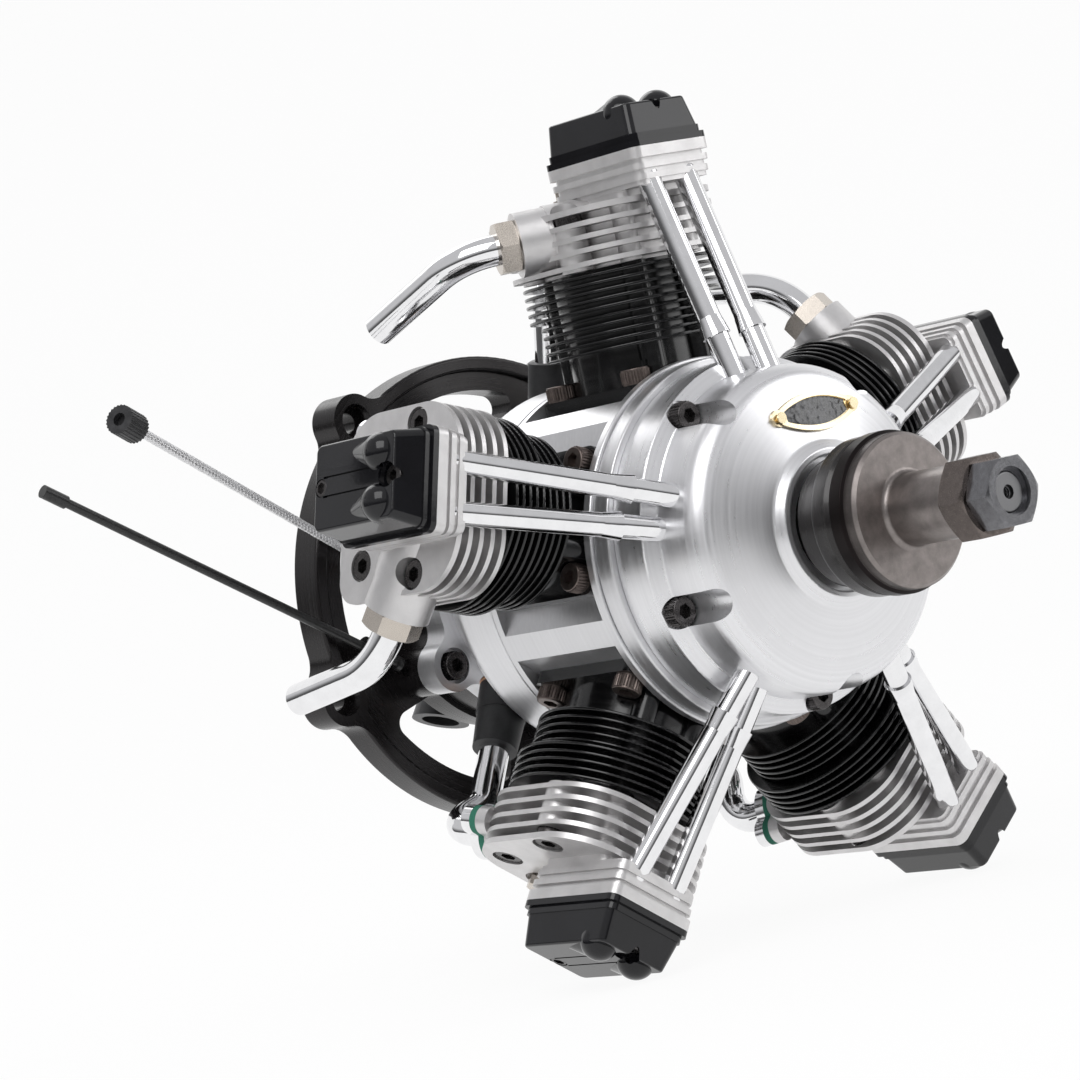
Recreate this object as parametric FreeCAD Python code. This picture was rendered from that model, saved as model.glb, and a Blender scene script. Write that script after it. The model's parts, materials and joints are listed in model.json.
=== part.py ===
"""Five cylinder four-stroke radial engine for a large model aircraft.

Lengths are millimetres. The crank axis is Y and the propeller end faces -Y. +Z is up
through cylinder 1. The origin is on the crank axis, in the firewall face of the mount
ring. Every cylinder is built in the place of cylinder 1 and then turned about Y.
"""
import FreeCAD
import Part
import math
import os

Vector = FreeCAD.Vector
ORIGIN = Vector(0, 0, 0)
FORWARD = Vector(0, -1, 0)
REARWARD = Vector(0, 1, 0)
UP = Vector(0, 0, 1)
DOWN = Vector(0, 0, -1)

# Engine layout
CYLINDERS = 5
SHARE = 360.0 / CYLINDERS
BORE = 28.0
STROKE = 23.8
CYL_Y = -80.0
BETWEEN = 36.0

# Fits
RUNNING = 0.05
FREE = 0.3
SEAT = 0.02

# Crankcase
CASE_R = 47.0
CASE_REAR = -59.0
CASE_FRONT = -101.2
CASE_BORE_R = 36.0
PAD_Z = 40.0
PAD_LAND = 2.4

# Front bearing carrier and gear case
CARRIER_R = CASE_R - 0.8
CARRIER_FRONT = -106.7
FLANGE_R = CARRIER_R - 1.7
FLANGE_FRONT = -117.0
DRUM_R = FLANGE_R - 3.9
SHOULDER_Y = -132.6
DOME_FRONT = -138.0
SHOULDER_R = 6.0
GEAR_ROOM_R = 33.5
LIP_R = 18.4
LIP_HEIGHT = 2.0
LIP_BORE_R = 16.6
SCREW_INSET = 6.2
CASE_SCREW_R = CASE_R - SCREW_INSET

# Rear cover and mount ring
COVER_PLATE_FRONT = -25.0
COVER_PLATE_REAR = -18.0
CONE_FRONT = -46.0
CONE_SMALL_R = 31.5
PLATE_R = 35.5
EAR_ROUND = 6.8
EAR_INSET = 2.2
EAR_R = CASE_R - EAR_INSET - EAR_ROUND
EAR_LEAD = 8.5
RING_PLATE = 8.0
RING_OUTER_R = 61.5
RING_INNER_R = 52.5
RING_LIP_R = 57.5
RING_LIP_FRONT = -9.6
HUB_BORE_R = 28.0
HUB_WINDOW_R = 36.8
LUG_CIRCLE_R = 61.9
LUG_ROUND = 7.3
LUG_HOLE_R = 2.75
LUG_BORE_R = 4.6

# Crank train
SHAFT_R = 7.5
THREAD_R = 5.0
CRANK_PIN_R = 5.0
WEB_FRONT = -95.0
WEB_REAR = -88.5
ROD_HALF = 3.5
BIG_END_R = 15.0
KNUCKLE_R = 11.0
WRIST_PIN_R = 3.0
PISTON_CROWN = 12.0
PISTON_SKIRT = 9.0
DECK_GAP = 1.1

# Bearings
BEARING_R = 13.0
BEARING_WIDTH = 7.5

# Cam drive
MODULE = 1.0
BACKLASH = 0.16
CRANK_TEETH = 18
IDLER_TEETH = 18
PINION_TEETH = 12
RING_TEETH = 48
GEAR_DISTANCE = MODULE * (CRANK_TEETH + IDLER_TEETH) / 2.0
FIRST_GEAR_REAR = -107.6
FIRST_GEAR_FRONT = -111.6
PINION_FRONT = -117.0
CAM_REAR = -112.6
CAM_BASE_R = 27.4
CAM_LIFT = 3.6
CAM_LOBES = 2
TRACK_HALF = 2.1

# Cylinder
CYL_FLANGE = 18.5
CYL_FLANGE_TOP = 43.4
BARREL_R = 16.7
SPIGOT_R = 15.4
SPIGOT_Z = 29.0
HEAD_Z = 73.6
FIN_R = 24.4
LOWER_FIN_R = 21.8
FIN_FIRST_Z = 53.0
FIN_PITCH = 2.07
FIN_COUNT = 10
FIN_THICK = 0.85
STUD_X = 7.8
STUD_Y = 14.9
BASE_SCREW = 14.4

# Head and rocker box
HEAD_FIN_LOW = 74.4
HEAD_FIN_PITCH = 3.3
HEAD_FIN_THICK = 1.25
HEAD_FINS = 5
HEAD_HALF = 23.1
HEAD_FRONT = -103.2
HEAD_REAR = -57.7
HEAD_CORNER = 14.0
DECK_CORNER = 6.0
DECK_Z = 89.1
BOX_Z = 90.9
COVER_Z = 100.3
BOX_HALF = 12.9
BOX_FRONT = -109.6
BOX_REAR = -75.2
COVER_TOP_Z = 111.5
COVER_TOP_HALF = 10.4
COVER_TOP_FRONT = -107.0
COVER_TOP_REAR = -76.6
WALL = 1.8
VALVE_X = 6.0
VALVE_Y = -84.5
ROCKER_Y = -95.5
ROCKER_Z = 103.4
HEAD_BOLTS = ((-18.4, -86.4), (18.4, -86.4), (-14.0, -66.0), (14.0, -66.0))
HEAD_BOLT_SEAT = 85.3
PLUG_Y = -64.8
SPRING_WIRE_R = 0.6

# Exhaust port and pipe
PORT_R = 83.6
PORT_NUT = Vector(-27.8, -72.3, PORT_R)
PORT_SWEEP = 30.0
PORT_BOSS_R = 8.2
NUT_HALF = 2.6
EXHAUST_FLATS = 12.6
PIPE_R = 4.0
PIPE_WALL = 0.6
PIPE_BEND = 52.0
PIPE_BEND_R = 18.0
PIPE_LEAD = 3.0
PIPE_TAIL = 24.6
PIPE_TURN = (29.0, 69.0, 60.0, 50.0, 3.0)

# Inlet pipe
INLET_FLANGE = Vector(12.5, -57.0, 81.0)
INLET_START = Vector(6.8, -34.2, 33.0)
INLET_TOP = Vector(8.4, -42.2, 71.0)
INLET_R = 4.0
INLET_WALL = 0.6
BOOT_R = 6.6
BOOT_LENGTH = 18.0
BOOT_SEAT = 4.0

# Pushrod tubes, foot in the gear case and top in the rocker box
TUBE_R = 3.0
TUBE_BORE_R = 2.3
EXHAUST_FOOT = Vector(-4.7, -119.3, 38.7)
EXHAUST_TOP = Vector(-6.8, -105.6, 93.4)
INLET_FOOT = Vector(2.7, -124.2, 38.7)
INLET_TOP_END = Vector(5.6, -105.6, 93.4)
PUSHROD_R = 1.2

# Propeller hub
HUB_REAR = -140.6
HUB_FRONT = -155.2
HUB_SMALL_R = 16.0
HUB_BIG_R = 19.4
WASHER_FRONT = -163.8
WASHER_R = 19.8
WASHER_FACE_R = 18.0
COLLAR_R = 8.8
COLLAR_FRONT = -182.6
NUT_FLATS = 19.0
NUT_FRONT = -190.2
LOCK_FLATS = 16.0
LOCK_FRONT = -197.4

# Name plate
PLATE_LENGTH = 30.8
PLATE_HEIGHT = 9.6
PLATE_THICK = 0.5
PLATE_RIM = 0.4
PLATE_PIN = 12.8
PLATE_CENTRE = Vector(3.2, DOME_FRONT, 27.7)

# Carburettor behind the mount ring
CARB = Vector(-3.2, 8.0, -5.2)
NEEDLE_AIM = Vector(-136.0, -50.0, 59.0)
NEEDLE_LENGTH = 158.5
CABLE_R = 1.0
HORN_R = 6.6
KNOB_R = 3.7
KNOB_LENGTH = 7.2
CHOKE_TIP = Vector(-138.9, -13.2, 48.2)
CHOKE_END = Vector(-49.5, -13.2, -9.2)
CHOKE_R = 1.2
CHOKE_TRAVEL = 6.0
CHOKE_GUIDE = 1.0
CHOKE_STOP_R = CHOKE_R + 0.7

# Socket screws: thread radius, head radius, head height
M3 = (1.5, 2.75, 3.0)
M4 = (2.0, 3.5, 4.0)


def polar(radius, angle, y):
    """Point at a radius and an angle from +X toward +Z, at station y."""
    turn = math.radians(angle)
    return Vector(radius * math.cos(turn), y, radius * math.sin(turn))


def around(shape, step):
    """Copy of a shape turned from cylinder 1 to the cylinder of this step."""
    copy = shape.copy()
    copy.rotate(ORIGIN, REARWARD, SHARE * step)
    return copy


def all_round(shape):
    """The five copies of a shape about the crank axis."""
    return [around(shape, step) for step in range(CYLINDERS)]


def fuse(first, *others):
    """One shape from several touching ones."""
    return first.multiFuse(list(others)).removeSplitter()


def rounded_wire(points, place):
    """Closed wire through points (a, b) or (a, b, corner radius)."""
    count = len(points)
    corners = []
    for index, point in enumerate(points):
        here = Vector(point[0], point[1], 0)
        radius = point[2] if len(point) > 2 else 0.0
        if radius == 0.0:
            corners.append((here, None, here))
            continue
        last = points[index - 1]
        following = points[(index + 1) % count]
        back = (Vector(last[0], last[1], 0) - here).normalize()
        ahead = (Vector(following[0], following[1], 0) - here).normalize()
        half = back.getAngle(ahead) / 2.0
        cut = radius / math.tan(half)
        middle = (back + ahead).normalize() * (radius / math.sin(half) - radius)
        corners.append((here + back * cut, here + middle, here + ahead * cut))
    edges = []
    for index, (start, middle, end) in enumerate(corners):
        if middle is not None:
            edges.append(Part.Arc(place(start), place(middle), place(end)).toShape())
        target = corners[(index + 1) % count][0]
        if end.distanceToPoint(target) > 1e-6:
            edges.append(Part.makeLine(place(end), place(target)))
    return Part.Wire(edges)


def turned(points):
    """Solid of revolution about the crank axis from (radius, y) points."""
    wire = rounded_wire(points, lambda p: Vector(p.x, p.y, 0))
    return Part.Face(wire).revolve(ORIGIN, REARWARD, 360)


def turned_barrel(points):
    """Solid of revolution about the axis of cylinder 1 from (radius, z) points."""
    wire = rounded_wire(points, lambda p: Vector(p.x, CYL_Y, p.y))
    return Part.Face(wire).revolve(Vector(0, CYL_Y, 0), UP, 360)


def slab(points, low, high):
    """Plate with an outline in X and Y between two heights."""
    wire = rounded_wire(points, lambda p: Vector(p.x, p.y, low))
    return Part.Face(wire).extrude(Vector(0, 0, high - low))


def oblong(half, front, rear, corner):
    """Outline of a rectangle with round corners, for slab."""
    return [(-half, front, corner), (half, front, corner), (half, rear, corner), (-half, rear, corner)]


def rod(start, end, radius):
    """Round bar from one point to another."""
    along = end - start
    return Part.makeCylinder(radius, along.Length, start, along)


def disc(radius, rear, front, centre=ORIGIN):
    """Disc about an axis along Y between two stations."""
    start = Vector(centre.x, rear, centre.z)
    return Part.makeCylinder(radius, rear - front, start, FORWARD)


def hexagon(start, along, flats, height):
    """Hexagon prism from a point along a direction."""
    ring = [Vector(0, 0, 0)] * 6
    size = flats / math.sqrt(3.0)
    for index in range(6):
        turn = math.radians(60 * index)
        ring[index] = Vector(size * math.cos(turn), size * math.sin(turn), 0)
    prism = Part.Face(Part.makePolygon(ring + ring[:1])).extrude(Vector(0, 0, height))
    prism.Placement = FreeCAD.Placement(start, FreeCAD.Rotation(UP, along))
    return prism


def hex_nut(start, along, flats, height):
    """Hexagon prism with both ends turned down at the corners."""
    corner = flats / math.sqrt(3.0)
    bevel = corner - flats / 2.0
    sides = [(0, 0), (corner - bevel, 0), (corner, bevel * 0.5), (corner, height - bevel * 0.5),
             (corner - bevel, height), (0, height)]
    wire = Part.makePolygon([Vector(a, 0, b) for a, b in sides + sides[:1]])
    cone = Part.Face(wire).revolve(ORIGIN, UP, 360)
    cone.Placement = FreeCAD.Placement(start, FreeCAD.Rotation(UP, along))
    return hexagon(start, along, flats, height).common(cone)


def socket_screw(seat, along, size, length):
    """Socket head screw with its head on a seat and its thread along a direction."""
    thread_r, head_r, head_h = size
    way = Vector(along).normalize()
    head = Part.makeCylinder(head_r, head_h, seat, way * -1)
    head = head.makeFillet(0.3, [head.Edges[0]])
    body = head.fuse(Part.makeCylinder(thread_r, length, seat, way))
    key = hexagon(seat - way * (head_h + 0.5), way, thread_r * 1.7, head_h * 0.55 + 0.5)
    return body.cut(key)


def fillet_where(shape, radius, wanted):
    """Round the edges that a test picks."""
    edges = [edge for edge in shape.Edges if wanted(edge)]
    return shape.makeFillet(radius, edges)


def along_y(edge):
    """True for a straight edge that runs along the crank axis."""
    if edge.Curve.TypeId != "Part::GeomLine":
        return False
    way = edge.Vertexes[-1].Point - edge.Vertexes[0].Point
    return abs(way.x) < 1e-6 and abs(way.z) < 1e-6


def bent_tube(points, bend_r, outer_r, wall):
    """Tube along straight runs joined by bends."""
    edges = []
    start = points[0]
    for index in range(1, len(points) - 1):
        corner = points[index]
        back = (points[index - 1] - corner).normalize()
        ahead = (points[index + 1] - corner).normalize()
        half = back.getAngle(ahead) / 2.0
        cut = bend_r / math.tan(half)
        middle = corner + (back + ahead).normalize() * (bend_r / math.sin(half) - bend_r)
        arc = Part.Arc(corner + back * cut, middle, corner + ahead * cut)
        edges.append(Part.makeLine(start, corner + back * cut))
        edges.append(arc.toShape())
        start = corner + ahead * cut
    edges.append(Part.makeLine(start, points[-1]))
    path = Part.Wire(edges)
    way = points[1] - points[0]
    outside = Part.Wire(Part.makeCircle(outer_r, points[0], way))
    solid = path.makePipeShell([outside], True, False)
    if wall <= 0:
        return solid
    inside = Part.Wire(Part.makeCircle(outer_r - wall, points[0], way))
    return solid.cut(path.makePipeShell([inside], True, False))


def gear_outline(teeth, tip_r, root_r, thickness, first, y):
    """Closed involute outline in the plane of a station y."""
    pitch_r = MODULE * teeth / 2.0
    pressure = math.radians(20.0)
    base_r = pitch_r * math.cos(pressure)
    start_r = max(base_r, root_r)

    def spread(radius):
        angle = math.acos(min(1.0, base_r / radius))
        return math.tan(angle) - angle

    def half_angle(radius):
        return thickness / (2.0 * pitch_r) + math.tan(pressure) - pressure - spread(radius)

    edges = []
    step = 2.0 * math.pi / teeth
    radii = [start_r + (tip_r - start_r) * index / 4.0 for index in range(5)]

    def spot(radius, turn):
        return polar(radius, math.degrees(turn), y)

    for tooth in range(teeth):
        middle = math.radians(first) + tooth * step
        rise = [spot(radius, middle - half_angle(radius)) for radius in radii]
        fall = [spot(radius, middle + half_angle(radius)) for radius in reversed(radii)]
        foot = middle - half_angle(start_r)
        heel = middle + half_angle(start_r)
        after = middle + step - half_angle(start_r)
        if root_r < start_r - 1e-6:
            edges.append(Part.makeLine(spot(root_r, foot), rise[0]))
        for flank in (rise, fall):
            curve = Part.BSplineCurve()
            curve.interpolate(flank)
            if flank is fall:
                edges.append(Part.Arc(rise[-1], spot(tip_r, middle), fall[0]).toShape())
            edges.append(curve.toShape())
        if root_r < start_r - 1e-6:
            edges.append(Part.makeLine(fall[-1], spot(root_r, heel)))
        low_r = min(root_r, start_r)
        middle = (heel + after) / 2.0
        edges.append(Part.Arc(spot(low_r, heel), spot(low_r, middle), spot(low_r, after)).toShape())
    return Part.Wire(edges)


def gear(teeth, first, rear, front, centre):
    """Spur gear with involute teeth between two stations."""
    pitch_r = MODULE * teeth / 2.0
    thickness = math.pi * MODULE / 2.0 - BACKLASH / 2.0
    wire = gear_outline(teeth, pitch_r + MODULE, pitch_r - 1.25 * MODULE, thickness, first, rear)
    solid = Part.Face(wire).extrude(Vector(0, front - rear, 0))
    solid.translate(Vector(centre.x, 0, centre.z))
    return solid


def crankcase():
    """Round drum with five flat pads, cylinder holes and long bolt holes."""
    body = turned([(CASE_BORE_R, CASE_REAR), (CASE_R, CASE_REAR, 0.6), (CASE_R, CASE_FRONT, 0.6),
                   (CASE_BORE_R, CASE_FRONT)])
    pad = Part.makeBox(2 * CASE_R, CASE_REAR - CASE_FRONT - 2 * PAD_LAND, CASE_R,
                       Vector(-CASE_R, CASE_FRONT + PAD_LAND, PAD_Z))
    hole = rod(Vector(0, CYL_Y, 0), Vector(0, CYL_Y, CASE_R), SPIGOT_R + RUNNING)
    cuts = []
    for side_x in (-BASE_SCREW, BASE_SCREW):
        for side_y in (-BASE_SCREW, BASE_SCREW):
            top = Vector(side_x, CYL_Y + side_y, PAD_Z + 1)
            cuts.append(rod(top, top + DOWN * 6.6, M4[0] + RUNNING))
    bolt = polar(CASE_SCREW_R, 90 + BETWEEN, CASE_REAR + 1)
    cuts.append(rod(bolt, Vector(bolt.x, CASE_FRONT - 1, bolt.z), M4[0] + 0.15))
    for tool in [pad, hole] + cuts:
        body = body.cut(Part.makeCompound(all_round(tool)))
    return body


def bearing_carrier():
    """Plate between crankcase and gear case, with bearing seat and idler pin."""
    plate = turned([(9.2, CASE_FRONT + 5.0), (16.5, CASE_FRONT + 5.0, 0.6), (18.5, CASE_FRONT),
                    (31.0, CASE_FRONT), (31.0, CASE_FRONT + 2.6),
                    (CASE_BORE_R - RUNNING, CASE_FRONT + 2.6, 0.5),
                    (CASE_BORE_R - RUNNING, CASE_FRONT), (CARRIER_R, CASE_FRONT, 0.6),
                    (CARRIER_R, CARRIER_FRONT, 0.6), (BEARING_R + SEAT, CARRIER_FRONT),
                    (BEARING_R + SEAT, CARRIER_FRONT + BEARING_WIDTH), (9.2, CARRIER_FRONT + BEARING_WIDTH)])
    pin = disc(3.0, CARRIER_FRONT, PINION_FRONT - 0.3, Vector(0, 0, GEAR_DISTANCE))
    plate = plate.fuse(pin)
    bolt = polar(CASE_SCREW_R, 90 + BETWEEN, CASE_FRONT + 1)
    hole = rod(bolt, Vector(bolt.x, CARRIER_FRONT - 1, bolt.z), M4[0] + 0.15)
    return plate.cut(Part.makeCompound(all_round(hole)))


def tube_ends():
    """Foot and top points of the exhaust and inlet pushrod tubes."""
    return ((EXHAUST_FOOT, EXHAUST_TOP), (INLET_FOOT, INLET_TOP_END))


def face_y(radius):
    """Station of the coned front of the gear case at a radius."""
    slope = (SHOULDER_Y - DOME_FRONT) / (DRUM_R - LIP_R - 2.2)
    return DOME_FRONT + slope * (radius - LIP_R - 2.2)


def gear_case():
    """Bell over the cam drive with screw flange, coned front, lip and tube sockets."""
    body = turned([(GEAR_ROOM_R, CARRIER_FRONT), (FLANGE_R, CARRIER_FRONT, 0.5),
                   (FLANGE_R, FLANGE_FRONT, 0.5),
                   (DRUM_R + 0.3, FLANGE_FRONT - 2.2, 0.8), (DRUM_R, SHOULDER_Y, SHOULDER_R),
                   (LIP_R + 2.2, DOME_FRONT, 1.6), (LIP_R, DOME_FRONT - LIP_HEIGHT, 0.8),
                   (LIP_BORE_R, DOME_FRONT - LIP_HEIGHT, 0.6), (LIP_BORE_R, DOME_FRONT + 0.4),
                   (BEARING_R + SEAT, DOME_FRONT + 0.4), (BEARING_R + SEAT, DOME_FRONT + 0.4 + BEARING_WIDTH),
                   (11.0, DOME_FRONT + 0.4 + BEARING_WIDTH), (11.0, DOME_FRONT + 9.0),
                   (GEAR_ROOM_R, DOME_FRONT + 9.0, 3.0)])
    screw = polar(CASE_SCREW_R, 90 + BETWEEN, FLANGE_FRONT)
    channel = rod(screw, Vector(screw.x, DOME_FRONT - 1, screw.z), M4[1] + 0.6)
    hole = disc(M4[0] + 0.15, CARRIER_FRONT + 1, FLANGE_FRONT - 1, screw)
    cuts = [channel, hole]
    for foot, top in tube_ends():
        way = (top - foot).normalize()
        cuts.append(rod(foot, foot + way * 12, TUBE_R + SEAT))
        cuts.append(rod(foot - way * 12, foot, PUSHROD_R + 0.6))
    for tool in cuts:
        body = body.cut(Part.makeCompound(all_round(tool)))
    for side in (-1, 1):
        body = body.cut(disc(0.9 + SEAT, DOME_FRONT + 6.0, DOME_FRONT - 1.0, plate_pin(side)))
    return body


def plate_pin(side):
    """Centre of a name plate pin, at the station of the gear case front."""
    spot = PLATE_CENTRE + Vector(side * PLATE_PIN, 0, 0)
    return Vector(spot.x, face_y(math.hypot(spot.x, spot.z)), spot.z)


def almond(inset):
    """Prism through the gear case front with the pointed oval outline."""
    half_l = PLATE_LENGTH / 2.0 - inset * 1.6
    half_h = PLATE_HEIGHT / 2.0 - inset
    middle = PLATE_CENTRE + Vector(0, 10.0, 0)
    left = middle + Vector(-half_l, 0, 0)
    right = middle + Vector(half_l, 0, 0)
    upper = Part.Arc(left, middle + Vector(0, 0, half_h), right).toShape()
    lower = Part.Arc(right, middle - Vector(0, 0, half_h), left).toShape()
    return Part.Face(Part.Wire([upper, lower])).extrude(FORWARD * 20.0)


def name_plate():
    """Blank almond plate bent to the gear case, with a raised rim and two pins."""
    low = LIP_R + 2.5
    high = DRUM_R - 3.0

    def skin(near, far):
        return turned([(low, face_y(low) - near), (high, face_y(high) - near),
                       (high, face_y(high) - far), (low, face_y(low) - far)])

    plate = almond(0.0).common(skin(SEAT, PLATE_THICK + PLATE_RIM))
    plate = plate.cut(almond(1.2).common(skin(PLATE_THICK, PLATE_THICK + 2.0)))
    pins = []
    for side in (-1, 1):
        spot = plate_pin(side)
        boss = disc(2.1, spot.y + 1.5, spot.y - PLATE_THICK - PLATE_RIM, spot)
        plate = plate.fuse(boss.common(skin(SEAT, PLATE_THICK + PLATE_RIM)))
        plate = plate.cut(disc(0.9 + SEAT, spot.y + 3, spot.y - 4, spot))
        shank = disc(0.9, spot.y + 1.8, spot.y - PLATE_THICK - PLATE_RIM - 0.5, spot)
        head = disc(1.4, spot.y - PLATE_THICK - PLATE_RIM - 0.5, spot.y - PLATE_THICK - PLATE_RIM - 0.9, spot)
        pins.append(shank.fuse(head))
    return [plate] + pins


def case_screws():
    """Long screws through gear case, carrier and crankcase into the rear cover."""
    seat = polar(CASE_SCREW_R, 90 + BETWEEN, FLANGE_FRONT)
    screw = socket_screw(seat, REARWARD, M4, CASE_REAR + 8.0 - FLANGE_FRONT)
    return all_round(screw)


def ear_outline(y, depth):
    """Plate with five ears, forward from a station y."""
    body = disc(PLATE_R, y, y - depth)
    lead = 90 + BETWEEN + EAR_LEAD
    ears = []
    for step in range(CYLINDERS):
        ears.append(disc(EAR_ROUND, y, y - depth, polar(EAR_R, lead - SHARE * step, 0)))
    body = body.multiFuse(ears).removeSplitter()
    return fillet_where(body, 5.0, along_y)


def inlet_way():
    """Unit vector along the straight run of the inlet pipe."""
    return (INLET_TOP - INLET_START).normalize()


def induction_cover():
    """Rear cover: drum, cone with inlet bosses, and the eared plate."""
    drum = turned([(30.0, CASE_REAR), (30.0, CASE_REAR - 2.5), (CASE_BORE_R - RUNNING, CASE_REAR - 2.5, 0.5),
                   (CASE_BORE_R - RUNNING, CASE_REAR), (CASE_R, CASE_REAR, 0.6), (CASE_R, CONE_FRONT, 5.0),
                   (CONE_SMALL_R, COVER_PLATE_FRONT), (CONE_SMALL_R, COVER_PLATE_REAR - 1),
                   (0, COVER_PLATE_REAR - 1),
                   (0, COVER_PLATE_FRONT - 2.0), (CONE_SMALL_R - 6, COVER_PLATE_FRONT - 2.0, 4.0),
                   (CONE_SMALL_R - 2, CONE_FRONT, 3.0), (0, CONE_FRONT), (0, CONE_FRONT - 5.0),
                   (30.0, CONE_FRONT - 5.0)])
    drum = drum.fuse(ear_outline(COVER_PLATE_REAR, COVER_PLATE_REAR - COVER_PLATE_FRONT))
    way = inlet_way()
    seat = INLET_START + way * BOOT_SEAT
    pocket = rod(seat, seat + way * 20.0, BOOT_R + 0.9)
    drum = drum.cut(Part.makeCompound(all_round(pocket)))
    boss = rod(INLET_START - way * 4.0, seat + way * 4.0, INLET_R + 1.6)
    drum = drum.multiFuse(all_round(boss))
    lead = 90 + BETWEEN + EAR_LEAD
    cuts = [rod(INLET_START - way * 12.0, seat + way * 5.0, INLET_R - 0.2)]
    seat = polar(EAR_R, lead, COVER_PLATE_FRONT + 3.0)
    cuts.append(rod(seat, Vector(seat.x, CONE_FRONT - 2.0, seat.z), M4[1] + 1.2))
    cuts.append(rod(seat, Vector(seat.x, COVER_PLATE_REAR + 1, seat.z), M4[0] + 0.2))
    bolt = polar(CASE_SCREW_R, 90 + BETWEEN, CASE_REAR - 1)
    cuts.append(rod(bolt, Vector(bolt.x, CASE_REAR + 8.6, bolt.z), M4[0] + RUNNING))
    for tool in cuts:
        drum = drum.cut(Part.makeCompound(all_round(tool)))
    throat = disc(8.0, COVER_PLATE_REAR + 1, COVER_PLATE_FRONT - 3)
    drum = drum.cut(throat)
    for spot in carb_bolts():
        drum = drum.cut(disc(M3[0] + RUNNING, COVER_PLATE_REAR + 1, COVER_PLATE_REAR - 7.0, spot))
    return drum.removeSplitter()


def carb_bolts():
    """Places of the two screws that hold the carburettor."""
    return [Vector(-13.5, 0, 9.5), Vector(13.5, 0, -9.5)]


def window_tool():
    """One kidney window of the mount ring, between two arms."""
    ring = turned([(HUB_WINDOW_R, 1.0), (RING_INNER_R, 1.0), (RING_INNER_R, -30.0), (HUB_WINDOW_R, -30.0)])
    first = 90 + BETWEEN - SHARE * 4
    arms = [polar(HUB_WINDOW_R - 4, first + 24.5, 2.0), polar(RING_INNER_R + 4, first + 12.5, 2.0),
            polar(RING_INNER_R + 30, first + 36.0, 2.0), polar(RING_INNER_R + 4, first + SHARE - 11.5, 2.0),
            polar(HUB_WINDOW_R - 4, first + SHARE - 8.0, 2.0)]
    wedge = Part.Face(Part.makePolygon(arms + arms[:1])).extrude(FORWARD * 34)
    return fillet_where(ring.common(wedge), 3.5, along_y)


def mount_ring():
    """Black ring with five firewall lugs, arms and an eared hub."""
    plate = turned([(HUB_BORE_R, 0.0), (RING_OUTER_R, 0.0, 0.6), (RING_OUTER_R, RING_LIP_FRONT, 0.8),
                    (RING_LIP_R, RING_LIP_FRONT, 0.8), (RING_LIP_R, -RING_PLATE), (HUB_BORE_R, -RING_PLATE)])
    lugs = []
    for step in range(CYLINDERS):
        spot = polar(LUG_CIRCLE_R, 90 + BETWEEN - SHARE * step, 0)
        lugs.append(disc(LUG_ROUND, 0.0, RING_LIP_FRONT, spot))
    plate = plate.multiFuse(lugs).removeSplitter()
    outer = [edge for edge in plate.Edges if along_y(edge) and edge.CenterOfMass.y < -2
             and math.hypot(edge.CenterOfMass.x, edge.CenterOfMass.z) > RING_OUTER_R - 1]
    plate = plate.makeFillet(6.0, outer)
    hub = ear_outline(-RING_PLATE, COVER_PLATE_REAR * -1 - RING_PLATE)
    hub = hub.cut(disc(HUB_BORE_R, 1, COVER_PLATE_REAR - 1))
    plate = plate.fuse(hub)
    window = window_tool()
    plate = plate.cut(Part.makeCompound(all_round(window)))
    cuts = []
    lug = polar(LUG_CIRCLE_R, 90 + BETWEEN, 0)
    cuts.append(disc(LUG_HOLE_R, 1, -12, lug))
    cuts.append(disc(LUG_BORE_R, -5.0, -12, lug))
    ear = polar(EAR_R, 90 + BETWEEN + EAR_LEAD, 0)
    cuts.append(disc(M4[0] + RUNNING, COVER_PLATE_REAR + 10.0, COVER_PLATE_REAR - 1, ear))
    for tool in cuts:
        plate = plate.cut(Part.makeCompound(all_round(tool)))
    way = (CHOKE_TIP - CHOKE_END).normalize()
    guide_end = CHOKE_END + way * 4.0
    block = rod(CHOKE_END - way * CHOKE_GUIDE, guide_end, CHOKE_R + 1.6)
    foot = Part.makeBox(4.2, 6.0, 5.0, Vector(guide_end.x + 0.1, CHOKE_END.y, guide_end.z - 4.4))
    plate = plate.multiFuse([block, foot])
    plate = plate.cut(rod(CHOKE_END - way * 4.0, guide_end + way * 4.0, CHOKE_R + RUNNING))
    plate = plate.cut(rod(CHOKE_END - way * 12.0, CHOKE_END - way * CHOKE_GUIDE, CHOKE_STOP_R + FREE))
    plate = plate.cut(rod(CARB + needle_way() * 24.0, CARB + needle_way() * 60.0, CABLE_R + 0.6))
    return plate.removeSplitter()


def mount_screws():
    """Screws from the eared plate into the mount ring."""
    seat = polar(EAR_R, 90 + BETWEEN + EAR_LEAD, COVER_PLATE_FRONT + 3.0)
    return all_round(socket_screw(seat, REARWARD, M4, 12.5))


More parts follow.
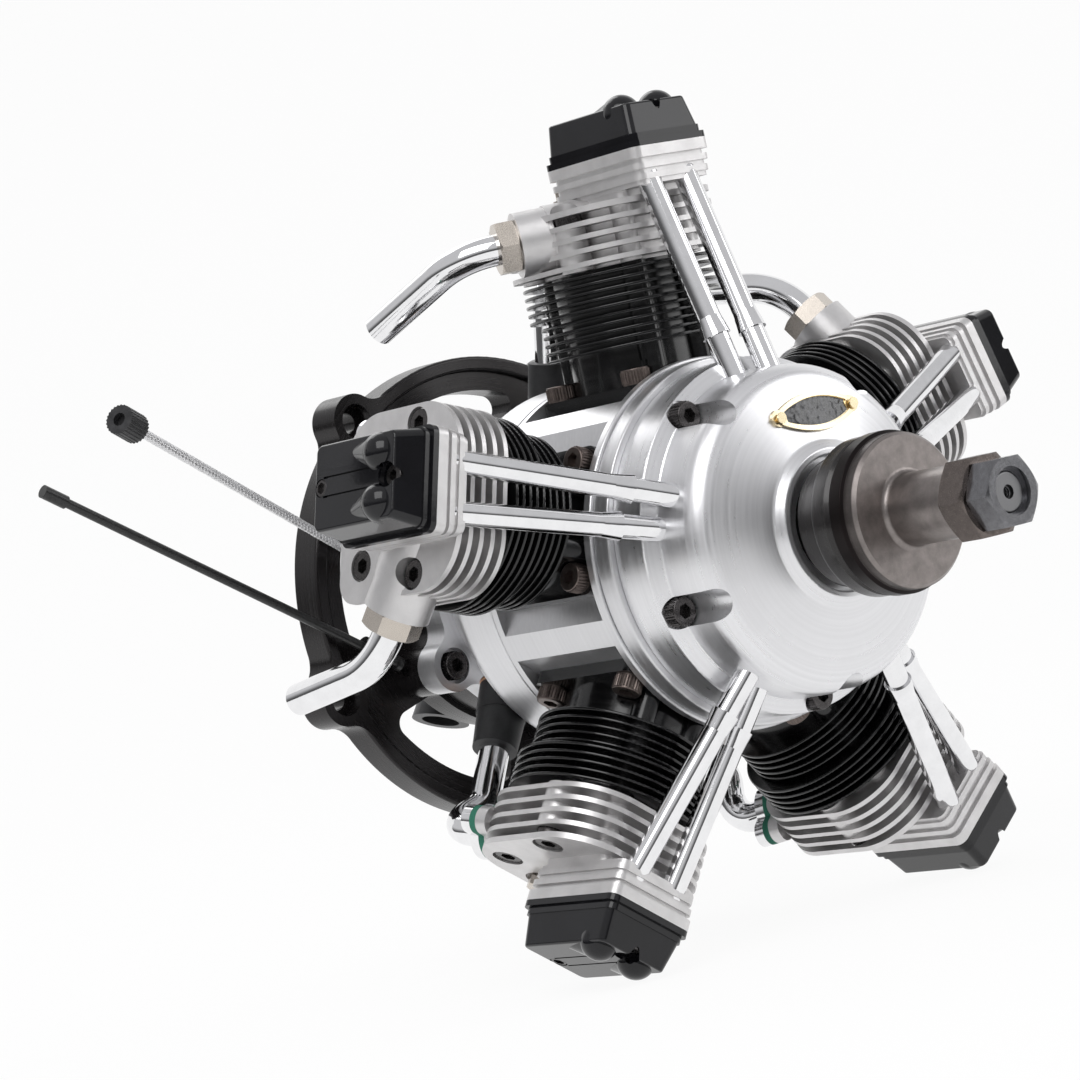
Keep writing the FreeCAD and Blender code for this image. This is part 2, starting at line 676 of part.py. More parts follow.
def cylinder():
    """Finned barrel on its square flange."""
    points = [(BORE / 2.0, SPIGOT_Z), (SPIGOT_R, SPIGOT_Z, 0.4), (SPIGOT_R, PAD_Z), (BARREL_R, PAD_Z)]
    for index in range(FIN_COUNT):
        low = FIN_FIRST_Z + index * FIN_PITCH
        reach = LOWER_FIN_R if index < FIN_COUNT / 2 else FIN_R
        high = low + FIN_THICK
        points += [(BARREL_R, low), (reach, low, 0.3), (reach, high, 0.3), (BARREL_R, high)]
    points += [(BARREL_R, HEAD_Z), (BORE / 2.0, HEAD_Z)]
    barrel = turned_barrel(points)
    flange = slab(oblong(CYL_FLANGE, CYL_Y - CYL_FLANGE, CYL_Y + CYL_FLANGE, 2.5), PAD_Z, CYL_FLANGE_TOP)
    bores = rod(Vector(0, CYL_Y, PAD_Z - 1), Vector(0, CYL_Y, CYL_FLANGE_TOP + 1), BORE / 2.0)
    flange = flange.cut(bores)
    studs = []
    for side_x in (-STUD_X, STUD_X):
        for side_y in (-STUD_Y, STUD_Y):
            foot = Vector(side_x, CYL_Y + side_y, PAD_Z + 1)
            studs.append(rod(foot, Vector(foot.x, foot.y, HEAD_Z), 3.3))
    body = barrel.multiFuse([flange] + studs)
    body = body.cut(rod(Vector(0, CYL_Y, SPIGOT_Z - 1), Vector(0, CYL_Y, HEAD_Z + 1), BORE / 2.0))
    for side_x in (-BASE_SCREW, BASE_SCREW):
        for side_y in (-BASE_SCREW, BASE_SCREW):
            foot = Vector(side_x, CYL_Y + side_y, PAD_Z - 1)
            body = body.cut(rod(foot, foot + UP * 6, M4[0] + 0.2))
            body = body.cut(rod(foot + UP * 4.4, foot + UP * 10.0, M4[1] + 0.4))
    return body.removeSplitter()


def base_screws():
    """Four flange screws of every cylinder."""
    screws = []
    for side_x in (-BASE_SCREW, BASE_SCREW):
        for side_y in (-BASE_SCREW, BASE_SCREW):
            seat = Vector(side_x, CYL_Y + side_y, CYL_FLANGE_TOP)
            screws += all_round(socket_screw(seat, DOWN, M4, 8.8))
    return screws


def port_way():
    """Unit vector out of the exhaust port."""
    turn = math.radians(PORT_SWEEP)
    return Vector(-math.cos(turn), math.sin(turn), 0)


def inlet_port_way():
    """Unit vector out of the inlet port, toward the rear."""
    return (INLET_FLANGE - Vector(6.5, -78.0, 82.0)).normalize()


def fin_outline(port_corner):
    """Rounded square of the head fins, with its own corner beside the exhaust port."""
    return [(-HEAD_HALF, HEAD_FRONT, HEAD_CORNER), (HEAD_HALF, HEAD_FRONT, HEAD_CORNER),
            (HEAD_HALF, HEAD_REAR, HEAD_CORNER), (-HEAD_HALF, HEAD_REAR, port_corner)]


def head():
    """Finned head with ports, deck and ridged rocker box."""
    pieces = []
    for index in range(HEAD_FINS):
        low = HEAD_FIN_LOW + index * HEAD_FIN_PITCH
        if index == HEAD_FINS - 1:
            pieces.append(slab(fin_outline(DECK_CORNER), low, DECK_Z))
        else:
            pieces.append(slab(fin_outline(HEAD_CORNER), low, low + HEAD_FIN_THICK))
    core = slab(oblong(15.5, CYL_Y - 17.0, CYL_Y + 15.5, 7.0), HEAD_Z, DECK_Z - 0.5)
    pieces.append(slab(oblong(11.5, HEAD_FRONT + 3.0, BOX_REAR - 2.0, 2.5), DECK_Z - 1.0, BOX_Z + 1.0))
    for side_x, side_y in HEAD_BOLTS:
        pieces.append(rod(Vector(side_x, side_y, HEAD_Z), Vector(side_x, side_y, HEAD_BOLT_SEAT), 4.1))
    for side_x in (-9.6, 9.6):
        pieces.append(rod(Vector(side_x, -96.6, HEAD_Z), Vector(side_x, -96.6, DECK_Z - 0.5), 3.0))
    pieces.append(slab(oblong(BOX_HALF - 1.2, BOX_FRONT + 1.2, BOX_REAR - 1.2, 2.0), BOX_Z, COVER_Z))
    for index in range(3):
        low = BOX_Z + 1.2 + index * 2.7
        grow = 0.3 * index
        outline = oblong(BOX_HALF - 0.6 + grow, BOX_FRONT + 0.6 - grow, BOX_REAR + grow - 0.6, 2.4)
        pieces.append(slab(outline, low, low + 1.5 if index < 2 else COVER_Z))
    way = port_way()
    seat = PORT_NUT - way * NUT_HALF
    pieces.append(rod(seat - way * 22.0, seat, PORT_BOSS_R))
    pieces.append(rod(seat - way * 21.0, seat - way * 8.0, PORT_BOSS_R + 0.35))
    inlet = inlet_port_way()
    pieces.append(rod(INLET_FLANGE - inlet * 20.0, INLET_FLANGE - inlet * 1.0, 6.6))
    pieces.append(inlet_pad(INLET_FLANGE - inlet * 4.0, 3.0))
    body = core.multiFuse(pieces)
    chamber = Part.makeSphere(24.0, Vector(0, CYL_Y, HEAD_Z - 19.6))
    cuts = [rod(seat - way * 8.5, seat + way * 1, PIPE_R + 0.1),
            rod(seat - way * 22.0, seat, 3.4),
            rod(INLET_FLANGE - inlet * 20.0, INLET_FLANGE + inlet * 2, 3.4),
            chamber.common(rod(Vector(0, CYL_Y, HEAD_Z - 1), Vector(0, CYL_Y, HEAD_Z + 9), BORE / 2 - 0.6)),
            slab(oblong(BOX_HALF - 1.2 - WALL, BOX_FRONT + 1.2 + WALL, BOX_REAR - 1.2 - WALL, 1.5),
                 BOX_Z + 3.2, COVER_Z + 1),
            inlet_pad(INLET_FLANGE - inlet * 1.0, 12.0, 0.8),
            rod(seat, seat + way * 30.0, EXHAUST_FLATS / math.sqrt(3.0) + 0.6)]
    for side_x, side_y in HEAD_BOLTS:
        spot = Vector(side_x, side_y, HEAD_BOLT_SEAT)
        cuts.append(rod(spot, spot + UP * 8, M4[1] + 0.4))
        cuts.append(rod(spot - UP * 14.0, spot, M4[0] + 0.1))
    for tool in cuts:
        body = body.cut(tool)
    post = slab(oblong(1.6, ROCKER_Y - 3.0, ROCKER_Y + 3.0, 0.6), BOX_Z + 2.0, ROCKER_Z + 2.6)
    columns = [rod(Vector(0, y, BOX_Z + 1), Vector(0, y, COVER_Z), 2.7) for y in cover_screw_places()]
    body = body.multiFuse([post] + columns)
    body = body.cut(rod(Vector(-9, ROCKER_Y, ROCKER_Z), Vector(9, ROCKER_Y, ROCKER_Z), 1.5 + SEAT))
    for y in cover_screw_places():
        body = body.cut(rod(Vector(0, y, COVER_Z - 6.0), Vector(0, y, COVER_Z + 1), M3[0] + RUNNING))
    for side in (-1, 1):
        stem = Vector(side * VALVE_X, VALVE_Y, HEAD_Z)
        body = body.cut(rod(stem, stem + UP * 25, 1.25 + SEAT))
        body = body.cut(rod(stem - UP, stem + UP * 6.3, 5.6))
    for foot, top in tube_ends():
        line = (top - foot).normalize()
        body = body.cut(rod(top - line * 6, top, TUBE_R + SEAT))
        body = body.cut(rod(top, top + line * 4, PUSHROD_R + 0.6))
    plug = Vector(0, PLUG_Y, DECK_Z - 1.4)
    body = body.cut(rod(plug - UP * 12, plug + UP * 4, 3.2 + SEAT))
    body = body.cut(rod(plug, plug + UP * 4, 5.2))
    return body.removeSplitter()


def cover_screw_places():
    """Stations of the two valve cover screws."""
    return (COVER_TOP_FRONT + 2.6, COVER_TOP_REAR - 2.4)


def inlet_pad(start, thick, grow=0.0):
    """Oval pad across the inlet port with room for two screws."""
    way = inlet_port_way()
    side = way.cross(UP).normalize()
    middle = Part.makeCylinder(7.0 + grow, thick, start, way)
    ears = [Part.makeCylinder(3.6 + grow, thick, start + side * (8.2 * end), way) for end in (-1, 1)]
    web = Part.makeBox(16.4, 7.0 + 2 * grow, thick)
    web.translate(Vector(-8.2, -3.5 - grow, 0))
    turn = FreeCAD.Rotation(side, way.cross(side), way, "ZXY")
    web.Placement = FreeCAD.Placement(start, turn).multiply(web.Placement)
    return middle.multiFuse(ears + [web]).removeSplitter()


def valve_cover():
    """Hollow cover with stepped rim, two humps, a screw recess and a raised rib."""
    place = lambda z: (lambda p: Vector(p.x, p.y, z))
    low = COVER_Z + 3.4
    rim = slab(oblong(BOX_HALF, BOX_FRONT, BOX_REAR, 2.4), COVER_Z, COVER_Z + 1.6)
    step = slab(oblong(BOX_HALF - 0.8, BOX_FRONT + 0.8, BOX_REAR - 0.8, 2.2), COVER_Z + 1.6, low)
    base = rounded_wire(oblong(BOX_HALF - 1.2, BOX_FRONT + 1.2, BOX_REAR - 1.2, 2.0), place(low))
    top = rounded_wire(oblong(COVER_TOP_HALF, COVER_TOP_FRONT, COVER_TOP_REAR, 2.0), place(COVER_TOP_Z))
    body = Part.makeLoft([base, top], True, True)
    crown = [edge for edge in body.Edges if abs(edge.BoundBox.ZMin - COVER_TOP_Z) < 1e-6]
    body = body.makeFillet(0.7, crown)
    humps = []
    for side in (-1, 1):
        nose = Vector(side * 6.0, COVER_TOP_FRONT + 6.6, COVER_TOP_Z - 2.0)
        tail = Vector(side * 7.6, COVER_TOP_FRONT + 21.0, COVER_TOP_Z - 2.2)
        humps.append(Part.makeSphere(4.9, nose))
        humps.append(Part.makeCone(4.86, 0.6, (tail - nose).Length, nose, tail - nose))
    body = body.multiFuse([rim, step] + humps)
    base_room = oblong(BOX_HALF - 3.0, BOX_FRONT + 3.0, BOX_REAR - 3.0, 1.5)
    top_room = oblong(COVER_TOP_HALF - WALL, COVER_TOP_FRONT + WALL, COVER_TOP_REAR - WALL, 1.0)
    inside_low = rounded_wire(base_room, place(COVER_Z - 1))
    inside_top = rounded_wire(top_room, place(COVER_TOP_Z - 2.0))
    room = Part.makeLoft([inside_low, inside_top], True, True)
    front_y, rear_y = cover_screw_places()
    for y in (front_y, rear_y):
        room = room.cut(rod(Vector(0, y, COVER_Z - 2), Vector(0, y, COVER_TOP_Z), 3.6))
    body = body.cut(room)
    front_seat = COVER_TOP_Z - 5.0
    rear_seat = COVER_TOP_Z - 1.6
    body = body.cut(rod(Vector(0, front_y, front_seat), Vector(0, front_y, COVER_TOP_Z + 6), M3[1] + 0.3))
    body = body.cut(rod(Vector(0, rear_y, rear_seat), Vector(0, rear_y, COVER_TOP_Z + 2), 2.2))
    for y in (front_y, rear_y):
        body = body.cut(rod(Vector(0, y, COVER_Z - 1), Vector(0, y, COVER_TOP_Z + 1), M3[0] + 0.15))
    for side in (-1, 1):
        corner = Vector(side * 2.3 - 0.27, front_y + 1.0, COVER_TOP_Z - 0.6)
        groove = Part.makeBox(0.55, rear_y - front_y - 2.0, 1.0, corner)
        body = body.cut(groove)
    return body.removeSplitter()


def cover_screws():
    """Front and rear screw of every valve cover."""
    front_y, rear_y = cover_screw_places()
    front = socket_screw(Vector(0, front_y, COVER_TOP_Z - 5.0), DOWN, M3, 11.5)
    rear = socket_screw(Vector(0, rear_y, COVER_TOP_Z - 1.6), DOWN, (1.5, 2.1, 1.5), 15.0)
    return all_round(front) + all_round(rear)


def head_bolts():
    """Bolts that hold every head down, sunk in the deck."""
    bolts = []
    for side_x, side_y in HEAD_BOLTS:
        bolts += all_round(socket_screw(Vector(side_x, side_y, HEAD_BOLT_SEAT), DOWN, (2.0, 3.5, 3.4), 11.0))
    return bolts


def exhaust_pipe(turn_deg):
    """Bent pipe out of the port, swung about the port axis."""
    way = port_way()
    turn = math.radians(turn_deg)
    inward = Vector(-way.y, way.x, 0) * -1
    swing = inward * math.cos(turn) + DOWN * math.sin(turn)
    bend = math.radians(PIPE_BEND)
    out = way * math.cos(bend) + swing * math.sin(bend)
    start = PORT_NUT - way * (NUT_HALF + 8.0)
    cut = PIPE_BEND_R * math.tan(bend / 2.0)
    corner = PORT_NUT + way * (PIPE_LEAD + cut)
    end = corner + out * (cut + PIPE_TAIL)
    return bent_tube([start, corner, end], PIPE_BEND_R, PIPE_R, PIPE_WALL)


def exhaust_nut():
    """Hexagon nut around the exhaust pipe against the port boss."""
    way = port_way()
    nut = hex_nut(PORT_NUT - way * NUT_HALF, way, EXHAUST_FLATS, 2 * NUT_HALF)
    return nut.cut(rod(PORT_NUT - way * 5, PORT_NUT + way * 5, PIPE_R + SEAT))


def inlet_pipes():
    """The five inlet pipes, each one hollow piece with its flange."""
    run = inlet_way()
    way = inlet_port_way()
    face = INLET_FLANGE + way * 0.8
    bend_in = face + way * 15.0
    points = [INLET_START + run * (BOOT_SEAT + 5.0), INLET_TOP, bend_in, face]
    solid = bent_tube(points, 6.5, INLET_R, 0)
    hollow = bent_tube(points, 6.5, INLET_R - INLET_WALL, 0)
    body = solid.fuse(inlet_pad(face, 2.6)).cut(hollow)
    body = body.cut(inlet_screw_holes(face - way * 1, 6.0, M3[0] + 0.15))
    return all_round(body.removeSplitter())


def inlet_screw_holes(start, depth, radius):
    """Pair of holes through the oval inlet pad."""
    way = inlet_port_way()
    side = way.cross(UP).normalize()
    places = [start + side * (8.2 * end) for end in (-1, 1)]
    return Part.makeCompound([Part.makeCylinder(radius, depth, place, way) for place in places])


def inlet_gaskets():
    """Thin oval gaskets under the inlet flanges."""
    way = inlet_port_way()
    gasket = inlet_pad(INLET_FLANGE - way * 1.0, 1.8)
    gasket = gasket.cut(rod(INLET_FLANGE - way * 3, INLET_FLANGE + way * 3, 3.4))
    gasket = gasket.cut(inlet_screw_holes(INLET_FLANGE - way * 3, 6.0, M3[0] + 0.15))
    return all_round(gasket)


def inlet_boots():
    """Rubber sleeves from the cover bosses onto the inlet pipes."""
    run = inlet_way()
    foot = INLET_START + run * BOOT_SEAT
    middle = foot + run * (BOOT_LENGTH * 0.45)
    top = foot + run * BOOT_LENGTH
    body = Part.makeCone(BOOT_R + 0.3, BOOT_R, (middle - foot).Length, foot, run)
    body = body.fuse(Part.makeCone(BOOT_R - 0.25, BOOT_R - 0.8, (top - middle).Length, middle, run))
    body = body.cut(rod(foot - run, foot + run * 4.5, INLET_R + 1.6 + SEAT))
    body = body.cut(rod(foot + run * 4.0, top + run, INLET_R + SEAT))
    return all_round(body)


def pushrod_tubes():
    """Chrome tubes with a slightly wider foot."""
    tubes = []
    for foot, top in tube_ends():
        way = (top - foot).normalize()
        body = rod(foot, top, TUBE_R)
        body = body.fuse(Part.makeCone(TUBE_R + 0.6, TUBE_R, 5.0, foot + way * 12.3, way))
        body = body.cut(rod(foot - way, top + way, TUBE_BORE_R))
        tubes += all_round(body)
    return tubes


def glow_plugs():
    """Plug with hexagon and centre terminal in the deck of every head."""
    seat = Vector(0, PLUG_Y, DECK_Z - 1.4)
    body = rod(seat - UP * 9.0, seat + UP * 1.0, 3.2)
    body = body.fuse(hex_nut(seat + UP * 0.05, UP, 8.0, 4.0))
    body = body.fuse(rod(seat + UP * 3.0, seat + UP * 6.0, 2.0))
    body = body.fuse(rod(seat + UP * 5.0, seat + UP * 8.2, 1.1))
    return all_round(body)


def crank_point():
    """Centre of the crank pin at rest, straight up under cylinder 1."""
    return Vector(0, CYL_Y, STROKE / 2.0)


def wrist_height(step):
    """Distance of a wrist pin from the crank axis along its cylinder."""
    master = HEAD_Z - DECK_GAP - PISTON_CROWN
    if step == 0:
        return master
    link = master - STROKE / 2.0 - KNUCKLE_R
    turn = math.radians(SHARE * step)
    along = Vector(math.sin(turn), 0, math.cos(turn))
    pin = Vector(0, 0, STROKE / 2.0) + along * KNUCKLE_R
    near = along.dot(pin)
    return near + math.sqrt(near * near - pin.dot(pin) + link * link)


def pistons():
    """Hollow pistons with three ring grooves, each at its place in the stroke."""
    solids = []
    for step in range(CYLINDERS):
        pin = wrist_height(step)
        top = pin + PISTON_CROWN
        wide = BORE / 2.0 - RUNNING
        skirt = pin - PISTON_SKIRT
        points = [(0, top - 2.5), (wide - 2.2, top - 2.5, 1.5), (wide - 2.2, skirt), (wide, skirt)]
        low = top - 8.0
        for groove in range(3):
            edge = low + groove * 2.2
            points += [(wide, edge), (wide - 1.0, edge), (wide - 1.0, edge + 1.0), (wide, edge + 1.0)]
        points += [(wide, top, 0.3), (0, top)]
        body = turned_barrel(points)
        for side in (-1, 1):
            inner = Vector(0, CYL_Y + side * 5.5, pin)
            outer = Vector(0, CYL_Y + side * (wide - 1.2), pin)
            body = body.fuse(rod(inner, outer, 4.6))
        body = body.cut(rod(Vector(0, CYL_Y - 16, pin), Vector(0, CYL_Y + 16, pin), WRIST_PIN_R + SEAT))
        solids.append(around(body, step))
    return solids


def wrist_pins():
    """Pins through the pistons and rod small ends."""
    solids = []
    for step in range(CYLINDERS):
        pin = wrist_height(step)
        body = rod(Vector(0, CYL_Y - 12.5, pin), Vector(0, CYL_Y + 12.5, pin), WRIST_PIN_R)
        body = body.cut(rod(Vector(0, CYL_Y - 13, pin), Vector(0, CYL_Y + 13, pin), 1.5))
        solids.append(around(body, step))
    return solids


def shank(big, small, half_width, half_depth):
    """Flat bar between two pin centres."""
    along = (small - big).normalize()
    side = along.cross(REARWARD).normalize()
    aside = side * half_width
    points = [big + aside, small + aside, small - aside, big - aside]
    points = [point + FORWARD * half_depth for point in points]
    return Part.Face(Part.makePolygon(points + points[:1])).extrude(REARWARD * 2 * half_depth)


def master_rod():
    """Master rod with a forked big end for the link rods."""
    pin = crank_point()
    small = Vector(0, CYL_Y, wrist_height(0))
    big_end = disc(BIG_END_R, CYL_Y + 5.0, CYL_Y - 5.0, pin)
    slot = disc(BIG_END_R + 2, CYL_Y + ROD_HALF - 0.9, CYL_Y - ROD_HALF + 0.9, pin)
    slot = slot.cut(disc(CRANK_PIN_R + 1.6, CYL_Y + 6, CYL_Y - 6, pin))
    keep = Part.makeBox(13.0, 12.0, 30.0, Vector(-6.5, CYL_Y - 6, pin.z + 2))
    big_end = big_end.cut(slot.cut(keep))
    body = fuse(big_end, shank(pin + UP * 6, small, 3.2, 2.2), disc(5.0, CYL_Y + 4.6, CYL_Y - 4.6, small))
    body = body.cut(disc(WRIST_PIN_R + SEAT, CYL_Y + 6, CYL_Y - 6, small))
    body = body.cut(disc(CRANK_PIN_R + RUNNING, CYL_Y + 6, CYL_Y - 6, pin))
    for step in range(1, CYLINDERS):
        body = body.cut(disc(1.8 + SEAT, CYL_Y + 6, CYL_Y - 6, knuckle(step)))
    return body


def knuckle(step):
    """Centre of the knuckle pin that carries a link rod."""
    turn = math.radians(SHARE * step)
    return crank_point() + Vector(math.sin(turn), 0, math.cos(turn)) * KNUCKLE_R


def link_rods():
    """Four link rods from the master rod to their pistons."""
    solids = []
    for step in range(1, CYLINDERS):
        turn = math.radians(SHARE * step)
        small = Vector(math.sin(turn), 0, math.cos(turn)) * wrist_height(step) + Vector(0, CYL_Y, 0)
        big = knuckle(step)
        half = ROD_HALF - 0.9 - RUNNING
        body = fuse(disc(3.7, CYL_Y + half, CYL_Y - half, big), disc(5.0, CYL_Y + 4.6, CYL_Y - 4.6, small),
                    shank(big, small, 2.4, 1.6))
        body = body.cut(disc(1.8 + SEAT, CYL_Y + 6, CYL_Y - 6, big))
        solids.append(body.cut(disc(WRIST_PIN_R + SEAT, CYL_Y + 6, CYL_Y - 6, small)))
    return solids


def knuckle_pins():
    """Pins of the link rods in the master rod."""
    return [disc(1.8, CYL_Y + 5.0, CYL_Y - 5.0, knuckle(step)) for step in range(1, CYLINDERS)]


def bearing(front):
    """Sealed bearing ring with a shallow groove in each face."""
    rear = front + BEARING_WIDTH - 0.5
    inner = SHAFT_R + RUNNING
    return turned([(inner, rear, 0.3), (9.0, rear), (9.3, rear - 0.5), (11.4, rear - 0.5), (11.7, rear),
                   (BEARING_R, rear, 0.3), (BEARING_R, front, 0.3), (11.7, front), (11.4, front + 0.5),
                   (9.3, front + 0.5), (9.0, front), (inner, front, 0.3)])


def main_bearings():
    """Bearing in the carrier and bearing in the nose of the gear case."""
    return [bearing(CARRIER_FRONT + 0.5), bearing(DOME_FRONT + 0.9)]


def crankshaft():
    """Shaft with web, pin stub, timing gear and propeller thread."""
    shaft = turned([(0, WEB_REAR), (9.0, WEB_REAR), (9.0, WEB_FRONT - 0.8), (SHAFT_R, WEB_FRONT - 0.8),
                    (SHAFT_R, HUB_FRONT - 2.0, 0.5), (THREAD_R, HUB_FRONT - 2.0),
                    (THREAD_R, LOCK_FRONT + 1.6, 0.6), (0, LOCK_FRONT + 1.6)])
    throw = STROKE / 2.0
    outline = [(-8.0, throw + 4.5, 4.0), (8.0, throw + 4.5, 4.0), (10.0, 2.0, 4.0), (24.0, -3.0, 2.0),
               (21.0, -17.0, 6.0), (0, -28.5, 9.0), (-21.0, -17.0, 6.0), (-24.0, -3.0, 2.0),
               (-10.0, 2.0, 4.0)]
    wire = rounded_wire(outline, lambda p: Vector(p.x, WEB_REAR, p.y))
    web = Part.Face(wire).extrude(Vector(0, WEB_FRONT - WEB_REAR, 0))
    web = web.common(disc(26.5, WEB_REAR + 1, WEB_FRONT - 1))
    pin = disc(CRANK_PIN_R, CYL_Y - 5.0 - FREE, WEB_REAR - 1, crank_point())
    teeth = gear(CRANK_TEETH, 90.0, FIRST_GEAR_REAR, FIRST_GEAR_FRONT, ORIGIN)
    body = shaft.multiFuse([web, pin, teeth])
    tip = Vector(0, LOCK_FRONT, 0)
    return body.cut(rod(tip, tip + REARWARD * 12, 1.7)).removeSplitter()


def idler():
    """Idler that steps the crank speed down to the cam ring."""
    centre = Vector(0, 0, GEAR_DISTANCE)
    wheel = gear(IDLER_TEETH, 270.0 + 180.0 / IDLER_TEETH, FIRST_GEAR_REAR, FIRST_GEAR_FRONT, centre)
    pinion = gear(PINION_TEETH, 90.0, FIRST_GEAR_FRONT, PINION_FRONT, centre)
    body = wheel.fuse(pinion)
    return body.cut(disc(3.0 + RUNNING, -100, -125, centre))


def cam_track(first_lobe, y):
    """Cam track with two smooth lobes, centred on a station."""
    half_width = math.radians(34.0)
    points = []
    for index in range(96):
        turn = 2.0 * math.pi * index / 96.0
        lift = 0.0
        for lobe in range(CAM_LOBES):
            away = turn - math.radians(first_lobe + 360.0 * lobe / CAM_LOBES)
            away = math.atan2(math.sin(away), math.cos(away))
            if abs(away) < half_width:
                lift = CAM_LIFT * math.cos(away / half_width * math.pi / 2.0) ** 2
        points.append(polar(CAM_BASE_R + lift, math.degrees(turn), y + TRACK_HALF))
    curve = Part.BSplineCurve()
    curve.interpolate(points, PeriodicFlag=True)
    return Part.Face(Part.Wire(curve.toShape())).extrude(FORWARD * 2 * TRACK_HALF)


def tappet_station(foot, top):
    """Station of a tappet where its line meets the lobe circle."""
    way = (top - foot).normalize()
    return foot.y + way.y * (CAM_BASE_R + CAM_LIFT - foot.z) / way.z


def cam_drum():
    """Cam ring with inner teeth, two tracks and a hub on the crankshaft."""
    web_front = DOME_FRONT + 9.6
    web_rear = web_front + 3.4
    hub_rear = web_front + 7.0
    hub_r = SHAFT_R + 3.6
    drum_r = CAM_BASE_R - 0.6
    body = turned([(0, CAM_REAR), (drum_r, CAM_REAR, 0.4), (drum_r, web_front, 0.4), (0, web_front)])
    room = turned([(0, CAM_REAR + 1), (20.0, CAM_REAR + 1), (20.0, web_rear, 1.0), (hub_r, web_rear, 1.0),
                   (hub_r, hub_rear, 0.5), (0, hub_rear)])
    pitch_r = MODULE * RING_TEETH / 2.0
    space = math.pi * MODULE / 2.0 + BACKLASH / 2.0
    wire = gear_outline(RING_TEETH, pitch_r + 1.25, pitch_r - 0.5, space, 90.0, CAM_REAR + 1.0)
    teeth = Part.Face(wire).extrude(Vector(0, PINION_FRONT - 0.8 - CAM_REAR - 1.0, 0))
    body = body.cut(room).cut(teeth)
    inside = disc(drum_r - 1.0, CAM_REAR, web_front - 1)
    for track in (cam_track(20.0, tappet_station(EXHAUST_FOOT, EXHAUST_TOP)),
                  cam_track(75.0, tappet_station(INLET_FOOT, INLET_TOP_END))):
        body = body.fuse(track.cut(inside))
    return body.cut(disc(SHAFT_R + RUNNING, CAM_REAR, web_front - 1))


def drive_hub():
    """Black drive hub that clamps the back of the propeller."""
    return turned([(SHAFT_R + SEAT, HUB_REAR), (HUB_SMALL_R - 1.0, HUB_REAR, 0.4),
                   (HUB_SMALL_R, HUB_REAR - 1.0), (HUB_SMALL_R, HUB_REAR - 6.5, 2.0),
                   (HUB_BIG_R, HUB_REAR - 9.0, 1.5), (HUB_BIG_R, HUB_FRONT + 1.2),
                   (HUB_BIG_R - 0.9, HUB_FRONT), (SHAFT_R + SEAT, HUB_FRONT)])


def prop_washer():
    """Propeller washer with a stepped rim and a long collar."""
    return turned([(SHAFT_R + SEAT, HUB_FRONT), (HUB_BIG_R - 1.6, HUB_FRONT),
                   (HUB_BIG_R - 1.6, HUB_FRONT - 0.9), (WASHER_R, HUB_FRONT - 0.9, 0.3),
                   (WASHER_R, HUB_FRONT - 4.6, 0.3), (WASHER_R - 0.9, HUB_FRONT - 5.2),
                   (WASHER_R - 0.9, WASHER_FRONT + 0.9), (WASHER_FACE_R, WASHER_FRONT),
                   (COLLAR_R, WASHER_FRONT, 1.4), (COLLAR_R, COLLAR_FRONT, 0.5),
                   (THREAD_R + 0.1, COLLAR_FRONT), (THREAD_R + 0.1, HUB_FRONT - 2.1),
                   (SHAFT_R + SEAT, HUB_FRONT - 2.1)])


def prop_nut():
    """Large hexagon nut on the collar."""
    start = Vector(0, COLLAR_FRONT, 0)
    nut = hex_nut(start, FORWARD, NUT_FLATS, COLLAR_FRONT - NUT_FRONT)
    return nut.cut(rod(start + REARWARD, Vector(0, NUT_FRONT - 1, 0), THREAD_R + SEAT))


def lock_nut():
    """Smaller hexagon lock nut with a recessed front bore."""
    start = Vector(0, NUT_FRONT, 0)
    nut = hex_nut(start, FORWARD, LOCK_FLATS, NUT_FRONT - LOCK_FRONT)
    nut = nut.cut(rod(start + REARWARD, Vector(0, LOCK_FRONT - 1, 0), THREAD_R + SEAT))
    return nut.cut(rod(Vector(0, LOCK_FRONT + 2.0, 0), Vector(0, LOCK_FRONT - 1, 0), THREAD_R + 0.8))


def needle_way():
    """Unit vector from the carburettor toward the needle knob."""
    return (NEEDLE_AIM - CARB).normalize()


def horn_way():
    """Unit vector of the air horn, square to the throttle barrel."""
    way = needle_way()
    return Vector(way.z, 0, -way.x).normalize() * -1


